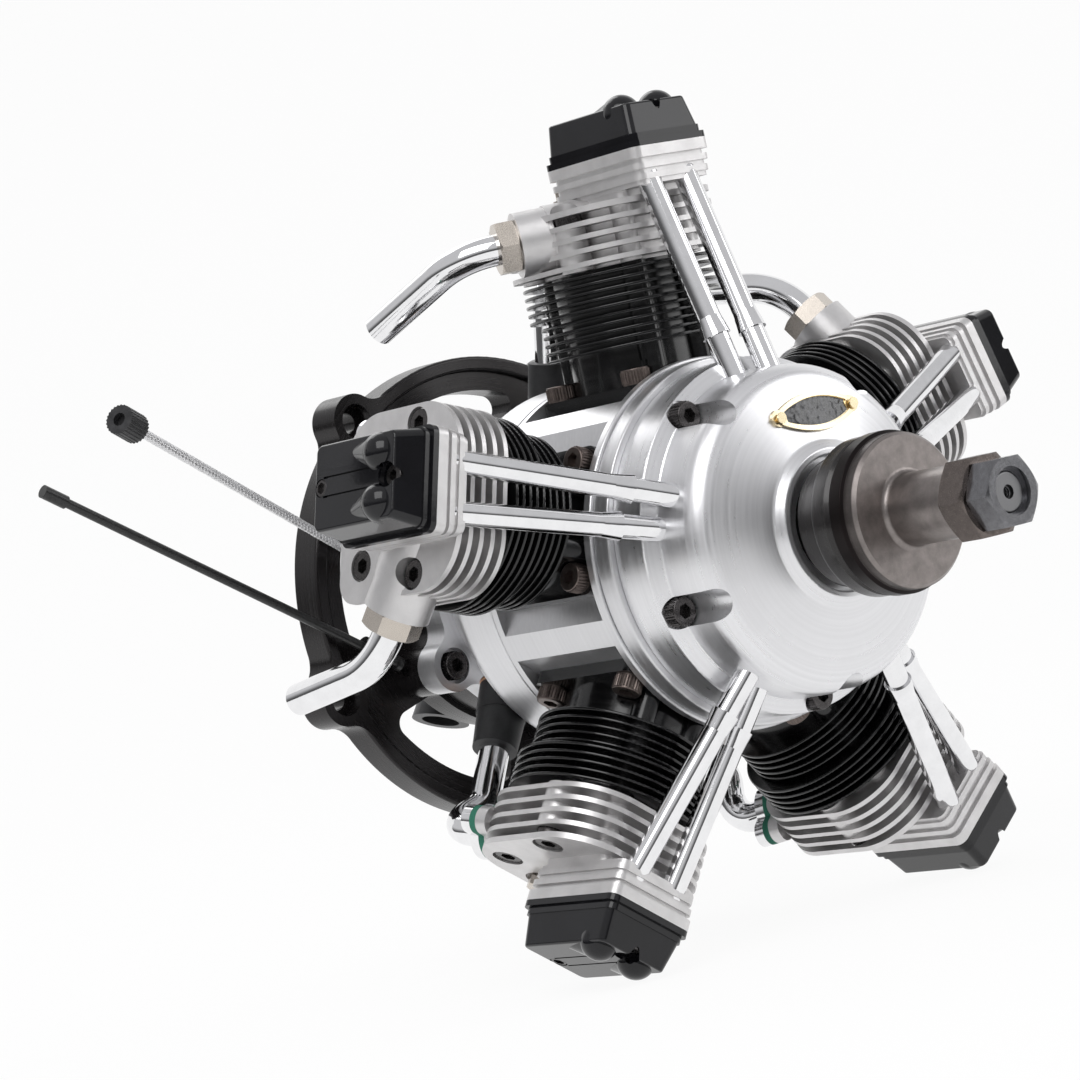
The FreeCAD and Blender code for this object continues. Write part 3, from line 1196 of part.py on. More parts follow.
def carburettor():
    """Body with mounting flange, throttle bore, air horn and needle boss."""
    way = needle_way()
    horn = horn_way()
    flange_y = COVER_PLATE_REAR
    flange = disc(9.5, flange_y + 3.0, flange_y)
    for spot in carb_bolts():
        flange = flange.fuse(disc(3.8, flange_y + 3.0, flange_y, spot))
    bar = shank(Vector(carb_bolts()[0].x, flange_y + 1.5, carb_bolts()[0].z),
                Vector(carb_bolts()[1].x, flange_y + 1.5, carb_bolts()[1].z), 3.8, 1.5)
    throat = Part.makeCylinder(8.0, CARB.y + 4.0 - flange_y, Vector(0, flange_y, 0), REARWARD)
    core = rod(CARB - way * 11.0, CARB + way * 11.0, 8.5)
    trumpet = rod(CARB, CARB + horn * 24.0, HORN_R)
    bell = Part.makeCone(HORN_R, CARB.y - FREE, 6.0, CARB + horn * 24.0, horn)
    boss = rod(CARB + way * 10.0, CARB + way * 16.0, 4.0)
    nipple = rod(CARB - horn * 6.0, CARB - horn * 15.0, 1.6)
    barb = Part.makeCone(2.1, 1.5, 2.2, CARB - horn * 12.8, horn * -1)
    body = flange.multiFuse([bar, throat, core, trumpet, bell, boss, nipple, barb])
    body = body.cut(rod(CARB - way * 12.0, CARB + way * 10.0, 6.0 + RUNNING))
    body = body.cut(rod(CARB, CARB + horn * 32.0, 5.0))
    body = body.cut(rod(Vector(0, flange_y - 1, 0), Vector(0, CARB.y, 0), 5.0))
    body = body.cut(rod(CARB + way * 9.0, CARB + way * 17.0, 1.6 + RUNNING))
    body = body.cut(rod(CARB - horn * 5.0, CARB - horn * 16.0, 0.8))
    for spot in carb_bolts():
        body = body.cut(disc(M3[0] + 0.15, flange_y + 4, flange_y - 1, spot))
    return body.removeSplitter()


def throttle_barrel():
    """Turning barrel with its lever on the free end."""
    way = needle_way()
    horn = horn_way()
    barrel = rod(CARB - way * 15.0, CARB + way * 8.0, 6.0)
    barrel = barrel.cut(rod(CARB + way * 9.0, CARB - way * 1.0, 2.2))
    barrel = barrel.cut(rod(CARB + REARWARD * 12, CARB + FORWARD * 12, 4.6))
    barrel = barrel.cut(rod(CARB, CARB + horn * 12, 4.6))
    root = CARB - way * 15.0
    tip = root + horn * 15.0
    lever = rod(root, root - way * 1.8, 6.0)
    lever = lever.fuse(rod(tip, tip - way * 1.8, 2.8))
    side = way.cross(horn).normalize()
    points = [root + side * 4.5, tip + side * 2.8, tip - side * 2.8, root - side * 4.5]
    lever = lever.fuse(Part.Face(Part.makePolygon(points + points[:1])).extrude(way * -1.8))
    lever = lever.cut(rod(tip + way, tip - way * 3, 1.0))
    return barrel.fuse(lever).removeSplitter()


def needle():
    """Needle, its holder and the stiff cable out to the knob."""
    way = needle_way()
    start = CARB + way * 2.0
    point = Part.makeCone(0.2, 1.4, 7.0, start, way)
    stem = rod(CARB + way * 9.0, CARB + way * 20.0, 1.6)
    collar = rod(CARB + way * 16.0 + way * FREE, CARB + way * 23.0, 3.2)
    cable = rod(CARB + way * 22.0, CARB + way * (NEEDLE_LENGTH - 1.0), CABLE_R)
    return point.multiFuse([stem, collar, cable]).removeSplitter()


def needle_knob():
    """Knurled knob on the outer end of the cable."""
    way = needle_way()
    start = CARB + way * (NEEDLE_LENGTH - KNOB_LENGTH / 2.0)
    body = rod(start, start + way * KNOB_LENGTH, KNOB_R)
    side = way.cross(UP).normalize()
    cuts = []
    for index in range(24):
        edge = start + side * (KNOB_R + 0.15)
        groove = rod(edge - way, edge + way * (KNOB_LENGTH + 1), 0.36)
        groove.rotate(start, way, 15.0 * index)
        cuts.append(groove)
    body = body.cut(Part.makeCompound(cuts))
    body = body.cut(rod(start + way * (KNOB_LENGTH - 2.0), start + way * (KNOB_LENGTH + 1), 1.6))
    return body.cut(rod(start - way, start + way * (KNOB_LENGTH - 3.0), CABLE_R + SEAT))


def choke_rod():
    """Straight choke wire with a thicker grip and a stop collar behind its guide."""
    way = (CHOKE_TIP - CHOKE_END).normalize()
    stop = CHOKE_END - way * (CHOKE_GUIDE + CHOKE_TRAVEL + FREE)
    body = rod(stop, CHOKE_TIP, CHOKE_R)
    body = body.fuse(rod(CHOKE_TIP - way * 7.0, CHOKE_TIP, CHOKE_R + 0.5))
    return body.fuse(rod(stop - way * 1.3, stop, CHOKE_STOP_R))


def carb_screws():
    """Screws of the carburettor flange."""
    seats = [Vector(spot.x, COVER_PLATE_REAR + 3.0, spot.z) for spot in carb_bolts()]
    return [socket_screw(seat, FORWARD, M3, 8.5) for seat in seats]


def pushrods():
    """Pushrods with their tappets, standing clear of the turning lobes."""
    solids = []
    for foot, top in tube_ends():
        way = (top - foot).normalize()
        tappet = foot + way * ((CAM_BASE_R + CAM_LIFT + 0.9 - foot.z) / way.z)
        crown = top + way * ((ROCKER_Z - 1.6 - top.z) / way.z)
        body = rod(tappet + way * 1.0, crown, PUSHROD_R)
        body = body.fuse(rod(tappet, tappet + way * 4.2, PUSHROD_R + 0.5))
        solids += all_round(body)
    return solids


def rocker_arms():
    """Rocker arms on their shaft, one over each valve."""
    solids = []
    shaft = rod(Vector(-8.6, ROCKER_Y, ROCKER_Z), Vector(8.6, ROCKER_Y, ROCKER_Z), 1.5)
    solids += all_round(shaft)
    for foot, top in tube_ends():
        side = 1 if foot.x > 0 else -1
        hub = rod(Vector(side * 3.6, ROCKER_Y, ROCKER_Z), Vector(side * 8.2, ROCKER_Y, ROCKER_Z), 2.9)
        arm = Part.makeBox(3.0, 21.5, 2.6, Vector(side * VALVE_X - 1.5, ROCKER_Y - 10.2, ROCKER_Z - 0.2))
        seat = Vector(side * VALVE_X, VALVE_Y, ROCKER_Z)
        body = fuse(hub, arm, rod(seat + DOWN, seat + UP, 1.6))
        bore = rod(Vector(-12, ROCKER_Y, ROCKER_Z), Vector(12, ROCKER_Y, ROCKER_Z), 1.5 + SEAT)
        solids += all_round(body.cut(bore))
    return solids


def valves():
    """Closed valves with their spring retainers."""
    solids = []
    for side in (-1, 1):
        seat = Vector(side * VALVE_X, VALVE_Y, HEAD_Z + 3.4)
        body = Part.makeCone(5.4, 4.2, 1.2, seat, UP)
        body = body.fuse(Part.makeCone(4.2, 1.25, 1.4, seat + UP * 1.2, UP))
        body = body.fuse(rod(seat + UP * 1.2, Vector(seat.x, seat.y, ROCKER_Z - 1.05), 1.25))
        retainer = Vector(seat.x, seat.y, ROCKER_Z - 2.6)
        body = body.fuse(rod(retainer, retainer + UP, 3.2))
        solids += all_round(body)
    return solids


def valve_springs():
    """Coil springs under the retainers."""
    low = BOX_Z + 3.2
    high = ROCKER_Z - 2.6
    wire_r = SPRING_WIRE_R
    helix = Part.makeHelix((high - low - 2 * wire_r) / 3.0, high - low - 2 * wire_r, 2.4)
    section = Part.Wire(Part.makeCircle(wire_r, Vector(2.4, 0, 0), Vector(0, 1, 0)))
    coil = Part.Wire(helix).makePipeShell([section], True, True)
    solids = []
    for side in (-1, 1):
        spring = coil.copy()
        spring.translate(Vector(side * VALVE_X, VALVE_Y, low + wire_r))
        solids += all_round(spring)
    return solids


def save(name, shapes):
    """Write one node, a solid or a group of solids, as a STEP file."""
    if not isinstance(shapes, list):
        shapes = [shapes]
    solids = [solid for shape in shapes for solid in shape.Solids]
    for solid in solids:
        if not solid.isValid():
            print("not valid:", name)
    shape = solids[0] if len(solids) == 1 else Part.makeCompound(solids)
    shape.exportStep("parts/" + name + ".step")
    print(name, len(solids), round(sum(solid.Volume for solid in solids), 1))


def main():
    """Build every node of the engine."""
    os.makedirs("parts", exist_ok=True)
    save("crankcase", crankcase())
    save("bearing_carrier", bearing_carrier())
    save("gear_case", gear_case())
    save("gear_case_screws", case_screws())
    save("name_plate", name_plate())
    save("induction_cover", induction_cover())
    save("mount_ring", mount_ring())
    save("mount_screws", mount_screws())
    barrel = cylinder()
    top = head()
    cap = valve_cover()
    for step in range(CYLINDERS):
        number = str(step + 1)
        save("cylinder_" + number, around(barrel, step))
        save("cylinder_head_" + number, around(top, step))
        save("valve_cover_" + number, around(cap, step))
        save("exhaust_pipe_" + number, around(exhaust_pipe(PIPE_TURN[step]), step))
    save("exhaust_nuts", all_round(exhaust_nut()))
    save("inlet_pipes", inlet_pipes())
    save("inlet_boots", inlet_boots())
    save("inlet_gaskets", inlet_gaskets())
    save("base_screws", base_screws())
    save("head_bolts", head_bolts())
    save("cover_screws", cover_screws())
    save("pushrod_tubes", pushrod_tubes())
    save("glow_plugs", glow_plugs())
    save("pistons", pistons())
    save("wrist_pins", wrist_pins())
    save("master_rod", master_rod())
    save("link_rods", link_rods())
    save("knuckle_pins", knuckle_pins())
    save("main_bearings", main_bearings())
    save("crankshaft", crankshaft())
    save("drive_hub", drive_hub())
    save("prop_washer", prop_washer())
    save("prop_nut", prop_nut())
    save("lock_nut", lock_nut())
    save("cam_drum", cam_drum())
    save("idler_gear", idler())
    save("carburettor", carburettor())
    save("carb_screws", carb_screws())
    save("throttle_barrel", throttle_barrel())
    save("needle", needle())
    save("needle_knob", needle_knob())
    save("choke_rod", choke_rod())
    save("rocker_arms", rocker_arms())
    save("valves", valves())
    save("valve_springs", valve_springs())
    save("pushrods", pushrods())


main()
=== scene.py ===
"""Finishes, small fittings and studio of a five cylinder radial engine for model aircraft.

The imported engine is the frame: crank axis along Y with the propeller end at -Y, +Z up
through cylinder 1, metres throughout. Every CAD piece keeps its shape and gets a
procedural finish, and the fittings too small for the solids are added as pieces.
"""

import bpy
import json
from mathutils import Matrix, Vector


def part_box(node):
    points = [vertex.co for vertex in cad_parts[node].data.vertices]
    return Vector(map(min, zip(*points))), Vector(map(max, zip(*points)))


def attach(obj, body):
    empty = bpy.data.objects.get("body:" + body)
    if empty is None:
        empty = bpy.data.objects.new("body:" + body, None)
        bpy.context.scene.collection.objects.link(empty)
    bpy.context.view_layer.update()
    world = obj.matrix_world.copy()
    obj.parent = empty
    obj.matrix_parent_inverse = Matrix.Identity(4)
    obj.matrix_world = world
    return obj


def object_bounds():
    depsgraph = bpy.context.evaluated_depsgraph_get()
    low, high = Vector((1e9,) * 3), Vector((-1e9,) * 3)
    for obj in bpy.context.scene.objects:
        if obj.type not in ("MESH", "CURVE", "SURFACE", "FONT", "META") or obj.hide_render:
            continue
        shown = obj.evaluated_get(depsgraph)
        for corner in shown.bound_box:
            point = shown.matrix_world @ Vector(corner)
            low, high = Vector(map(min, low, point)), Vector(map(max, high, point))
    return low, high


bl_info = {
    "name": "Radial engine finish",
    "version": (1, 0, 0),
    "blender": (4, 5, 0),
    "location": "View3D > Sidebar > Engine",
    "description": "Finishes, small fittings and studio of a model radial engine",
    "category": "Object",
}

import json
import math

import bmesh
import bpy
from mathutils import Matrix, Vector, noise
from mathutils.bvhtree import BVHTree

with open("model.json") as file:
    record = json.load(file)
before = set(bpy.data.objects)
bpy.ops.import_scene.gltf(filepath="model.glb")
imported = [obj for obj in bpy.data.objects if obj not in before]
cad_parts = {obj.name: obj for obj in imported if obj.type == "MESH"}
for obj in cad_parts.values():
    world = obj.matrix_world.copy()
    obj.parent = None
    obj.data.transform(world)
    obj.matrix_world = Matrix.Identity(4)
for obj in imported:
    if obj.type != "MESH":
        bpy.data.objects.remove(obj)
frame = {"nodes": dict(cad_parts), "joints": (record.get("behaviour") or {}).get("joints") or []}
CAD_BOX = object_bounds()
MM = 0.001
CYLINDERS = 5
SHARE = math.tau / CYLINDERS

# Camera of the photograph: where it stands, what it looks at, its roll and its lens
CAMERA_AT = Vector((-704.8, -856.1, 29.0)) * MM
CAMERA_TO = Vector((14.4, -11.7, 9.3)) * MM
CAMERA_ROLL = math.radians(-12.19)
CAMERA_LENS = 138.2

# Name plate: bare rim left beside the enamel, at its ends, at its points and above and below
PLATE_END = 4.9 * MM
PLATE_POINT = 1.9 * MM
PLATE_RIM = 1.35 * MM
PLATE_GRID = (56, 22)
ENAMEL_LIFT = 0.10 * MM
ENAMEL_LEAST = 0.02 * MM
WRINKLE = 1.3 * MM

# Screws: depth of the outer end that shows a head's radius, and the band of knurling on it
HEAD_END = 0.8 * MM
KNURL_SINK = 0.5 * MM
KNURL_DEPTH = 3.0 * MM
RIDGE_WIDTH = 2.4

# Braid and thread: sides of a wire, steps in one turn, gap left to the pieces at its ends
WIRE_SIDES = 5
SPIRAL_STEPS = 14
BRAID_CORE = 1.0 * MM
BRAID_GAP = 0.2 * MM
COLLAR_R = 2.2 * MM
THREAD_DEPTH = 2.4 * MM
THREAD = {"Length": 5.0 * MM, "Core radius": 1.6 * MM, "Wire radius": 0.22 * MM,
          "Lay": 0.8 * MM, "Strands": 1}

# Boot rings: steps around, sides of the wire and gap to the rubber
RING_STEPS = 48
RING_SIDES = 8
RING_GAP = 0.1 * MM
AXIS_ROUNDS = 6

# Stage, in metres: reach in front, depth and bend behind, height and half width of the sweep
SWEEP_FRONT, SWEEP_BACK, SWEEP_BEND, SWEEP_TOP, SWEEP_WIDE = -2.6, 1.6, 0.7, 2.2, 3.2
SWEEP_STEPS = 16
SWEEP_GLOW = 0.93
FLOOR_GAP = 0.5 * MM
ROOM_LIGHT = (("From Min", 0.05), ("From Max", 0.34), ("To Min", 0.09), ("To Max", 0.60))
WASHER_FACE_R = 18.7 * MM


# Sizes and colours that a user would change

class CaseProps(bpy.types.PropertyGroup):
    """Turned aluminium of crankcase, carrier, gear case and rear cover."""
    colour: bpy.props.FloatVectorProperty(
        name="Aluminium", description="Colour of the turned aluminium", subtype="COLOR",
        size=3, default=(0.80, 0.80, 0.815), min=0.0, max=1.0)
    groove: bpy.props.FloatProperty(
        name="Tool mark pitch", description="Distance between the marks of the turning tool",
        subtype="DISTANCE", unit="LENGTH", default=0.8 * MM, min=0.05 * MM)


class BarrelProps(bpy.types.PropertyGroup):
    """Black anodised cylinder barrels."""
    colour: bpy.props.FloatVectorProperty(
        name="Anodising", description="Colour of the anodised barrels", subtype="COLOR",
        size=3, default=(0.006, 0.006, 0.0065), min=0.0, max=1.0)


class HeadProps(bpy.types.PropertyGroup):
    """Blasted heads and lacquered valve covers."""
    metal: bpy.props.FloatVectorProperty(
        name="Blasted metal", description="Colour of the bead blasted heads", subtype="COLOR",
        size=3, default=(0.69, 0.68, 0.68), min=0.0, max=1.0)
    lacquer: bpy.props.FloatVectorProperty(
        name="Lacquer", description="Colour of the valve cover lacquer", subtype="COLOR",
        size=3, default=(0.007, 0.007, 0.0085), min=0.0, max=1.0)
    grain: bpy.props.FloatProperty(
        name="Blast grain", description="Size of the dimples left by blasting",
        subtype="DISTANCE", unit="LENGTH", default=0.28 * MM, min=0.05 * MM)


class CableProps(bpy.types.PropertyGroup):
    """Braid around the needle cable."""
    strands: bpy.props.IntProperty(
        name="Strands", description="Wires laid each way round", default=5, min=2, max=12)
    wire: bpy.props.FloatProperty(
        name="Wire", description="Thickness of one wire", subtype="DISTANCE", unit="LENGTH",
        default=0.42 * MM, min=0.1 * MM)
    pitch: bpy.props.FloatProperty(
        name="Lay", description="Length in which a wire goes once round", subtype="DISTANCE",
        unit="LENGTH", default=7.5 * MM, min=1.0 * MM)


class FittingProps(bpy.types.PropertyGroup):
    """Small fittings that the solids leave out."""
    ridges: bpy.props.IntProperty(
        name="Knurl ridges", description="Ridges round one socket head", default=30, min=8, max=60)
    ring: bpy.props.FloatProperty(
        name="Clamp wire", description="Thickness of the copper ring on a boot",
        subtype="DISTANCE", unit="LENGTH", default=0.9 * MM, min=0.2 * MM)
    crackle: bpy.props.FloatProperty(
        name="Crackle", description="Height of the wrinkles in the plate's enamel",
        subtype="DISTANCE", unit="LENGTH", default=0.16 * MM, min=0.0)


class StageProps(bpy.types.PropertyGroup):
    """Floor, backdrop and lamps."""
    floor: bpy.props.FloatVectorProperty(
        name="Floor", description="Colour of the floor and backdrop", subtype="COLOR",
        size=3, default=(0.93, 0.93, 0.93), min=0.0, max=1.0)
    key: bpy.props.FloatProperty(
        name="Key lamp", description="Power of the large lamp at the upper left",
        subtype="POWER", unit="POWER", default=8.0, min=0.0)
    fill: bpy.props.FloatProperty(
        name="Fill lamp", description="Power of the lamp at the right", subtype="POWER",
        unit="POWER", default=3.2, min=0.0)


# Meshes

def piece(name, mesh, body, finish):
    """Object of a mesh that rides on a body and wears a finish."""
    made = bpy.data.objects.new(name, mesh)
    bpy.context.scene.collection.objects.link(made)
    made.data.materials.clear()
    made.data.materials.append(finish)
    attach(made, body)
    return made


def mesh_from(name, build):
    """Mesh filled by a function that works on a bmesh."""
    work = bmesh.new()
    build(work)
    mesh = bpy.data.meshes.new(name)
    work.to_mesh(mesh)
    work.free()
    return mesh


def points_with_way(name, places):
    """Mesh of loose points, each with the direction in which its fitting faces."""
    mesh = bpy.data.meshes.new(name)
    mesh.from_pydata([place for place, way in places], [], [])
    ways = mesh.attributes.new("way", "FLOAT_VECTOR", "POINT")
    ways.data.foreach_set("vector", [part for place, way in places for part in way])
    return mesh


def islands(node):
    """Separate shells of a CAD node, each as a list of points, in the order of the mesh."""
    mesh = frame["nodes"][node].data
    work = bmesh.new()
    work.from_mesh(mesh)
    bmesh.ops.remove_doubles(work, verts=work.verts, dist=0.002 * MM)
    left = set(work.verts)
    found = []
    for first in work.verts:
        if first not in left:
            continue
        left.remove(first)
        front = [first]
        shell = [first.co.copy()]
        while front:
            for edge in front.pop().link_edges:
                for vert in edge.verts:
                    if vert in left:
                        left.remove(vert)
                        front.append(vert)
                        shell.append(vert.co.copy())
        found.append(shell)
    work.free()
    return found


def centre_of(points):
    """Mean of a list of points."""
    return sum(points, Vector()) / len(points)


def off_axis(point, start, way):
    """Distance of a point from the axis through a start."""
    return (point - start - way * (point - start).dot(way)).length


def socket_heads(node, way_of):
    """Centre of the outer end, direction and radius of each socket head in a node."""
    heads = []
    for shell in islands(node):
        way = way_of(centre_of(shell))
        reach = max(point.dot(way) for point in shell)
        end = [point for point in shell if point.dot(way) > reach - HEAD_END]
        centre = centre_of(end)
        centre += way * (reach - centre.dot(way))
        heads.append((centre, way, max(off_axis(point, centre, way) for point in end)))
    return heads


def outward(middle):
    """Direction away from the crank axis, along the cylinder nearest to a point."""
    turn = round(math.atan2(middle.x, middle.z) / SHARE) * SHARE
    return Vector((math.sin(turn), 0.0, math.cos(turn)))


def forward(_middle):
    """Direction toward the propeller."""
    return Vector((0.0, -1.0, 0.0))


# Geometry Nodes

class Nodes:
    """A node tree under construction, held in self.tree."""

    def node(self, kind, links=None, **settings):
        """New node with settings and its inputs linked or set."""
        made = self.tree.nodes.new(kind)
        for key, value in settings.items():
            setattr(made, key, value)
        for key, value in (links or {}).items():
            socket = made.inputs[key]
            if isinstance(value, bpy.types.NodeSocket):
                self.tree.links.new(value, socket)
            else:
                socket.default_value = value
        return made

    def maths(self, operation, first, second=0.0):
        """Result of a two value sum."""
        return self.node("ShaderNodeMath", {0: first, 1: second}, operation=operation).outputs[0]


class Tree(Nodes):
    """A Geometry Nodes tree under construction."""

    def __init__(self, name, inputs):
        self.tree = bpy.data.node_groups.new(name, "GeometryNodeTree")
        face = self.tree.interface
        face.new_socket("Geometry", in_out="OUTPUT", socket_type="NodeSocketGeometry")
        face.new_socket("Geometry", in_out="INPUT", socket_type="NodeSocketGeometry")
        for label, kind, value in inputs:
            socket = face.new_socket(label, in_out="INPUT", socket_type=kind)
            if value is not None:
                socket.default_value = value
        self.start = self.tree.nodes.new("NodeGroupInput")
        self.end = self.tree.nodes.new("NodeGroupOutput")

    def given(self, label):
        """Output socket of a named input."""
        return self.start.outputs[label]

    def around(self, count, axis):
        """Rotation of each instance, a share of the full turn for every one of a count."""
        index = self.node("GeometryNodeInputIndex").outputs[0]
        angle = self.maths("DIVIDE", self.maths("MULTIPLY", index, math.tau), count)
        return self.node("ShaderNodeCombineXYZ", {axis: angle}).outputs[0]

    def finish(self, geometry):
        """Realize the result and give it the material of the Finish input."""
        real = self.node("GeometryNodeRealizeInstances", {"Geometry": geometry})
        painted = self.node("GeometryNodeSetMaterial", {
            "Geometry": real.outputs[0], "Material": self.given("Finish")})
        self.tree.links.new(painted.outputs[0], self.end.inputs["Geometry"])
        return self.tree


def grown(name, mesh, tree, values, body, finish):
    """Piece made by a tree from a mesh, baked to a plain mesh that rides on a body."""
    seed = bpy.data.objects.new(name + "_seed", mesh)
    bpy.context.scene.collection.objects.link(seed)
    modifier = seed.modifiers.new("Grow", "NODES")
    modifier.node_group = tree
    identifiers = {item.name: item.identifier for item in tree.interface.items_tree
                   if item.in_out == "INPUT"}
    for label, value in dict(values, Finish=finish).items():
        modifier[identifiers[label]] = value
    bpy.context.view_layer.update()
    evaluated = seed.evaluated_get(bpy.context.evaluated_depsgraph_get())
    baked = bpy.data.meshes.new_from_object(evaluated)
    baked.name = name
    bpy.data.objects.remove(seed)
    if not baked.polygons:
        raise RuntimeError(name + " came out empty")
    return piece(name, baked, body, finish)


def helix_tree(name, hands):
    """Wires laid round a straight core along +Z, one set for each hand."""
    tree = Tree(name, [
        ("Length", "NodeSocketFloat", 0.1), ("Core radius", "NodeSocketFloat", 0.001),
        ("Wire radius", "NodeSocketFloat", 0.0002), ("Lay", "NodeSocketFloat", 0.007),
        ("Strands", "NodeSocketInt", 5), ("Place", "NodeSocketVector", None),
        ("Turn", "NodeSocketRotation", None), ("Finish", "NodeSocketMaterial", None)])
    turns = tree.maths("DIVIDE", tree.given("Length"), tree.given("Lay"))
    pair = tree.node("GeometryNodeJoinGeometry")
    for reverse in hands:
        spiral = tree.node("GeometryNodeCurveSpiral", {
            "Resolution": SPIRAL_STEPS, "Rotations": turns,
            "Start Radius": tree.given("Core radius"), "End Radius": tree.given("Core radius"),
            "Height": tree.given("Length"), "Reverse": reverse})
        tree.tree.links.new(spiral.outputs[0], pair.inputs[0])
    ring = tree.node("GeometryNodePoints", {"Count": tree.given("Strands")})
    laid = tree.node("GeometryNodeInstanceOnPoints", {
        "Points": ring.outputs[0], "Instance": pair.outputs[0],
        "Rotation": tree.around(tree.given("Strands"), "Z")})
    loose = tree.node("GeometryNodeRealizeInstances", {"Geometry": laid.outputs[0]})
    section = tree.node("GeometryNodeCurvePrimitiveCircle", {
        "Resolution": WIRE_SIDES, "Radius": tree.given("Wire radius")})
    wires = tree.node("GeometryNodeCurveToMesh", {
        "Curve": loose.outputs[0], "Profile Curve": section.outputs[0], "Fill Caps": True})
    smooth = tree.node("GeometryNodeSetShadeSmooth", {"Geometry": wires.outputs[0]})
    placed = tree.node("GeometryNodeTransform", {
        "Geometry": smooth.outputs[0], "Translation": tree.given("Place"),
        "Rotation": tree.given("Turn")})
    return tree.finish(placed.outputs[0])


def knurl_tree():
    """Ridges round a socket head, on every point of the mesh."""
    tree = Tree("head_knurl", [
        ("Head radius", "NodeSocketFloat", 0.0035), ("Depth", "NodeSocketFloat", 0.003),
        ("Ridges", "NodeSocketInt", 30), ("Finish", "NodeSocketMaterial", None)])
    ring = tree.node("GeometryNodeMeshCircle", {
        "Vertices": tree.given("Ridges"), "Radius": tree.given("Head radius")})
    width = tree.maths("DIVIDE", tree.maths("MULTIPLY", tree.given("Head radius"), RIDGE_WIDTH),
                       tree.given("Ridges"))
    size = tree.node("ShaderNodeCombineXYZ", {"X": width, "Y": width, "Z": tree.given("Depth")})
    ridge = tree.node("GeometryNodeMeshCube", {"Size": size.outputs[0]})
    low = tree.maths("MULTIPLY", tree.given("Depth"), -0.5)
    drop = tree.node("ShaderNodeCombineXYZ", {"Z": low})
    lowered = tree.node("GeometryNodeTransform", {
        "Geometry": ridge.outputs[0], "Translation": drop.outputs[0],
        "Rotation": (0.0, 0.0, math.pi / 4)})
    crown = tree.node("GeometryNodeInstanceOnPoints", {
        "Points": ring.outputs[0], "Instance": lowered.outputs[0],
        "Rotation": tree.around(tree.given("Ridges"), "Z")})
    one = tree.node("GeometryNodeRealizeInstances", {"Geometry": crown.outputs[0]})
    way = tree.node("GeometryNodeInputNamedAttribute", {"Name": "way"}, data_type="FLOAT_VECTOR")
    aim = tree.node("FunctionNodeAlignRotationToVector", {"Vector": way.outputs[0]}, axis="Z")
    every = tree.node("GeometryNodeInstanceOnPoints", {
        "Points": tree.given("Geometry"), "Instance": one.outputs[0], "Rotation": aim.outputs[0]})
    return tree.finish(every.outputs[0])


def copies_tree():
    """Copies of the mesh turned about the crank axis."""
    tree = Tree("crank_copies", [
        ("Copies", "NodeSocketInt", CYLINDERS), ("Finish", "NodeSocketMaterial", None)])
    seats = tree.node("GeometryNodePoints", {"Count": tree.given("Copies")})
    every = tree.node("GeometryNodeInstanceOnPoints", {
        "Points": seats.outputs[0], "Instance": tree.given("Geometry"),
        "Rotation": tree.around(tree.given("Copies"), "Y")})
    return tree.finish(every.outputs[0])


# Finishes

class Finish(Nodes):
    """A procedural material under construction."""

    def __init__(self, name, **sockets):
        self.material = bpy.data.materials.new(name)
        self.material.use_nodes = True
        self.tree = self.material.node_tree
        self.shader = self.tree.nodes["Principled BSDF"]
        for label, value in sockets.items():
            self.shader.inputs[label.replace("_", " ")].default_value = value
        coords = self.tree.nodes.new("ShaderNodeTexCoord")
        self.place = coords.outputs["Object"]

    def noise(self, size, detail=3.0, rough=0.55, place=None):
        """Noise whose grains are about as wide as a size in metres."""
        made = self.node("ShaderNodeTexNoise", {
            "Vector": place or self.place, "Scale": 1.0 / size, "Detail": detail,
            "Roughness": rough})
        return made.outputs["Fac"]

    def spread(self, value, low, high, at_low=0.3, at_high=0.7):
        """Value carried from its own span to another."""
        return self.node("ShaderNodeMapRange", {
            "Value": value, "From Min": at_low, "From Max": at_high,
            "To Min": low, "To Max": high}).outputs[0]

    def blend(self, factor, first, second):
        """Mix of two colours."""
        made = self.node("ShaderNodeMix", {"Factor": factor, "A": first, "B": second},
                         data_type="RGBA")
        return made.outputs["Result"]

    def turning(self, axis_turn=0.0, across_y=True):
        """Coordinates that only change across the marks of turning about an axis."""
        place = self.place
        if axis_turn:
            place = self.node("ShaderNodeMapping", {
                "Vector": place, "Rotation": (0.0, -axis_turn, 0.0)}).outputs[0]
        parts = self.node("ShaderNodeSeparateXYZ", {"Vector": place}).outputs
        if across_y:
            squares = [self.maths("POWER", parts[axis], 2.0) for axis in "XZ"]
            radius = self.maths("SQRT", self.maths("ADD", *squares))
            along = parts["Y"]
        else:
            radius = self.maths("MULTIPLY", parts["X"], 0.02)
            along = parts["Z"]
        return self.node("ShaderNodeCombineXYZ", {"X": radius, "Y": along}).outputs[0]

    def colour(self, socket):
        """Drive the base colour."""
        self.tree.links.new(socket, self.shader.inputs["Base Color"])

    def roughness(self, socket):
        """Drive the roughness."""
        self.tree.links.new(socket, self.shader.inputs["Roughness"])

    def relief(self, height, depth, strength=1.0, after=None):
        """Bump of a depth in metres, on top of an earlier one."""
        links = {"Height": height, "Distance": depth, "Strength": strength}
        if after is not None:
            links["Normal"] = after
        made = self.node("ShaderNodeBump", links)
        return made.outputs[0]

    def done(self, normal=None):
        """Material with its normal linked."""
        if normal is not None:
            self.tree.links.new(normal, self.shader.inputs["Normal"])
        return self.material


def shade(colour, factor):
    """Colour with alpha, made lighter or darker."""
    return tuple(min(1.0, part * factor) for part in colour[:3]) + (1.0,)


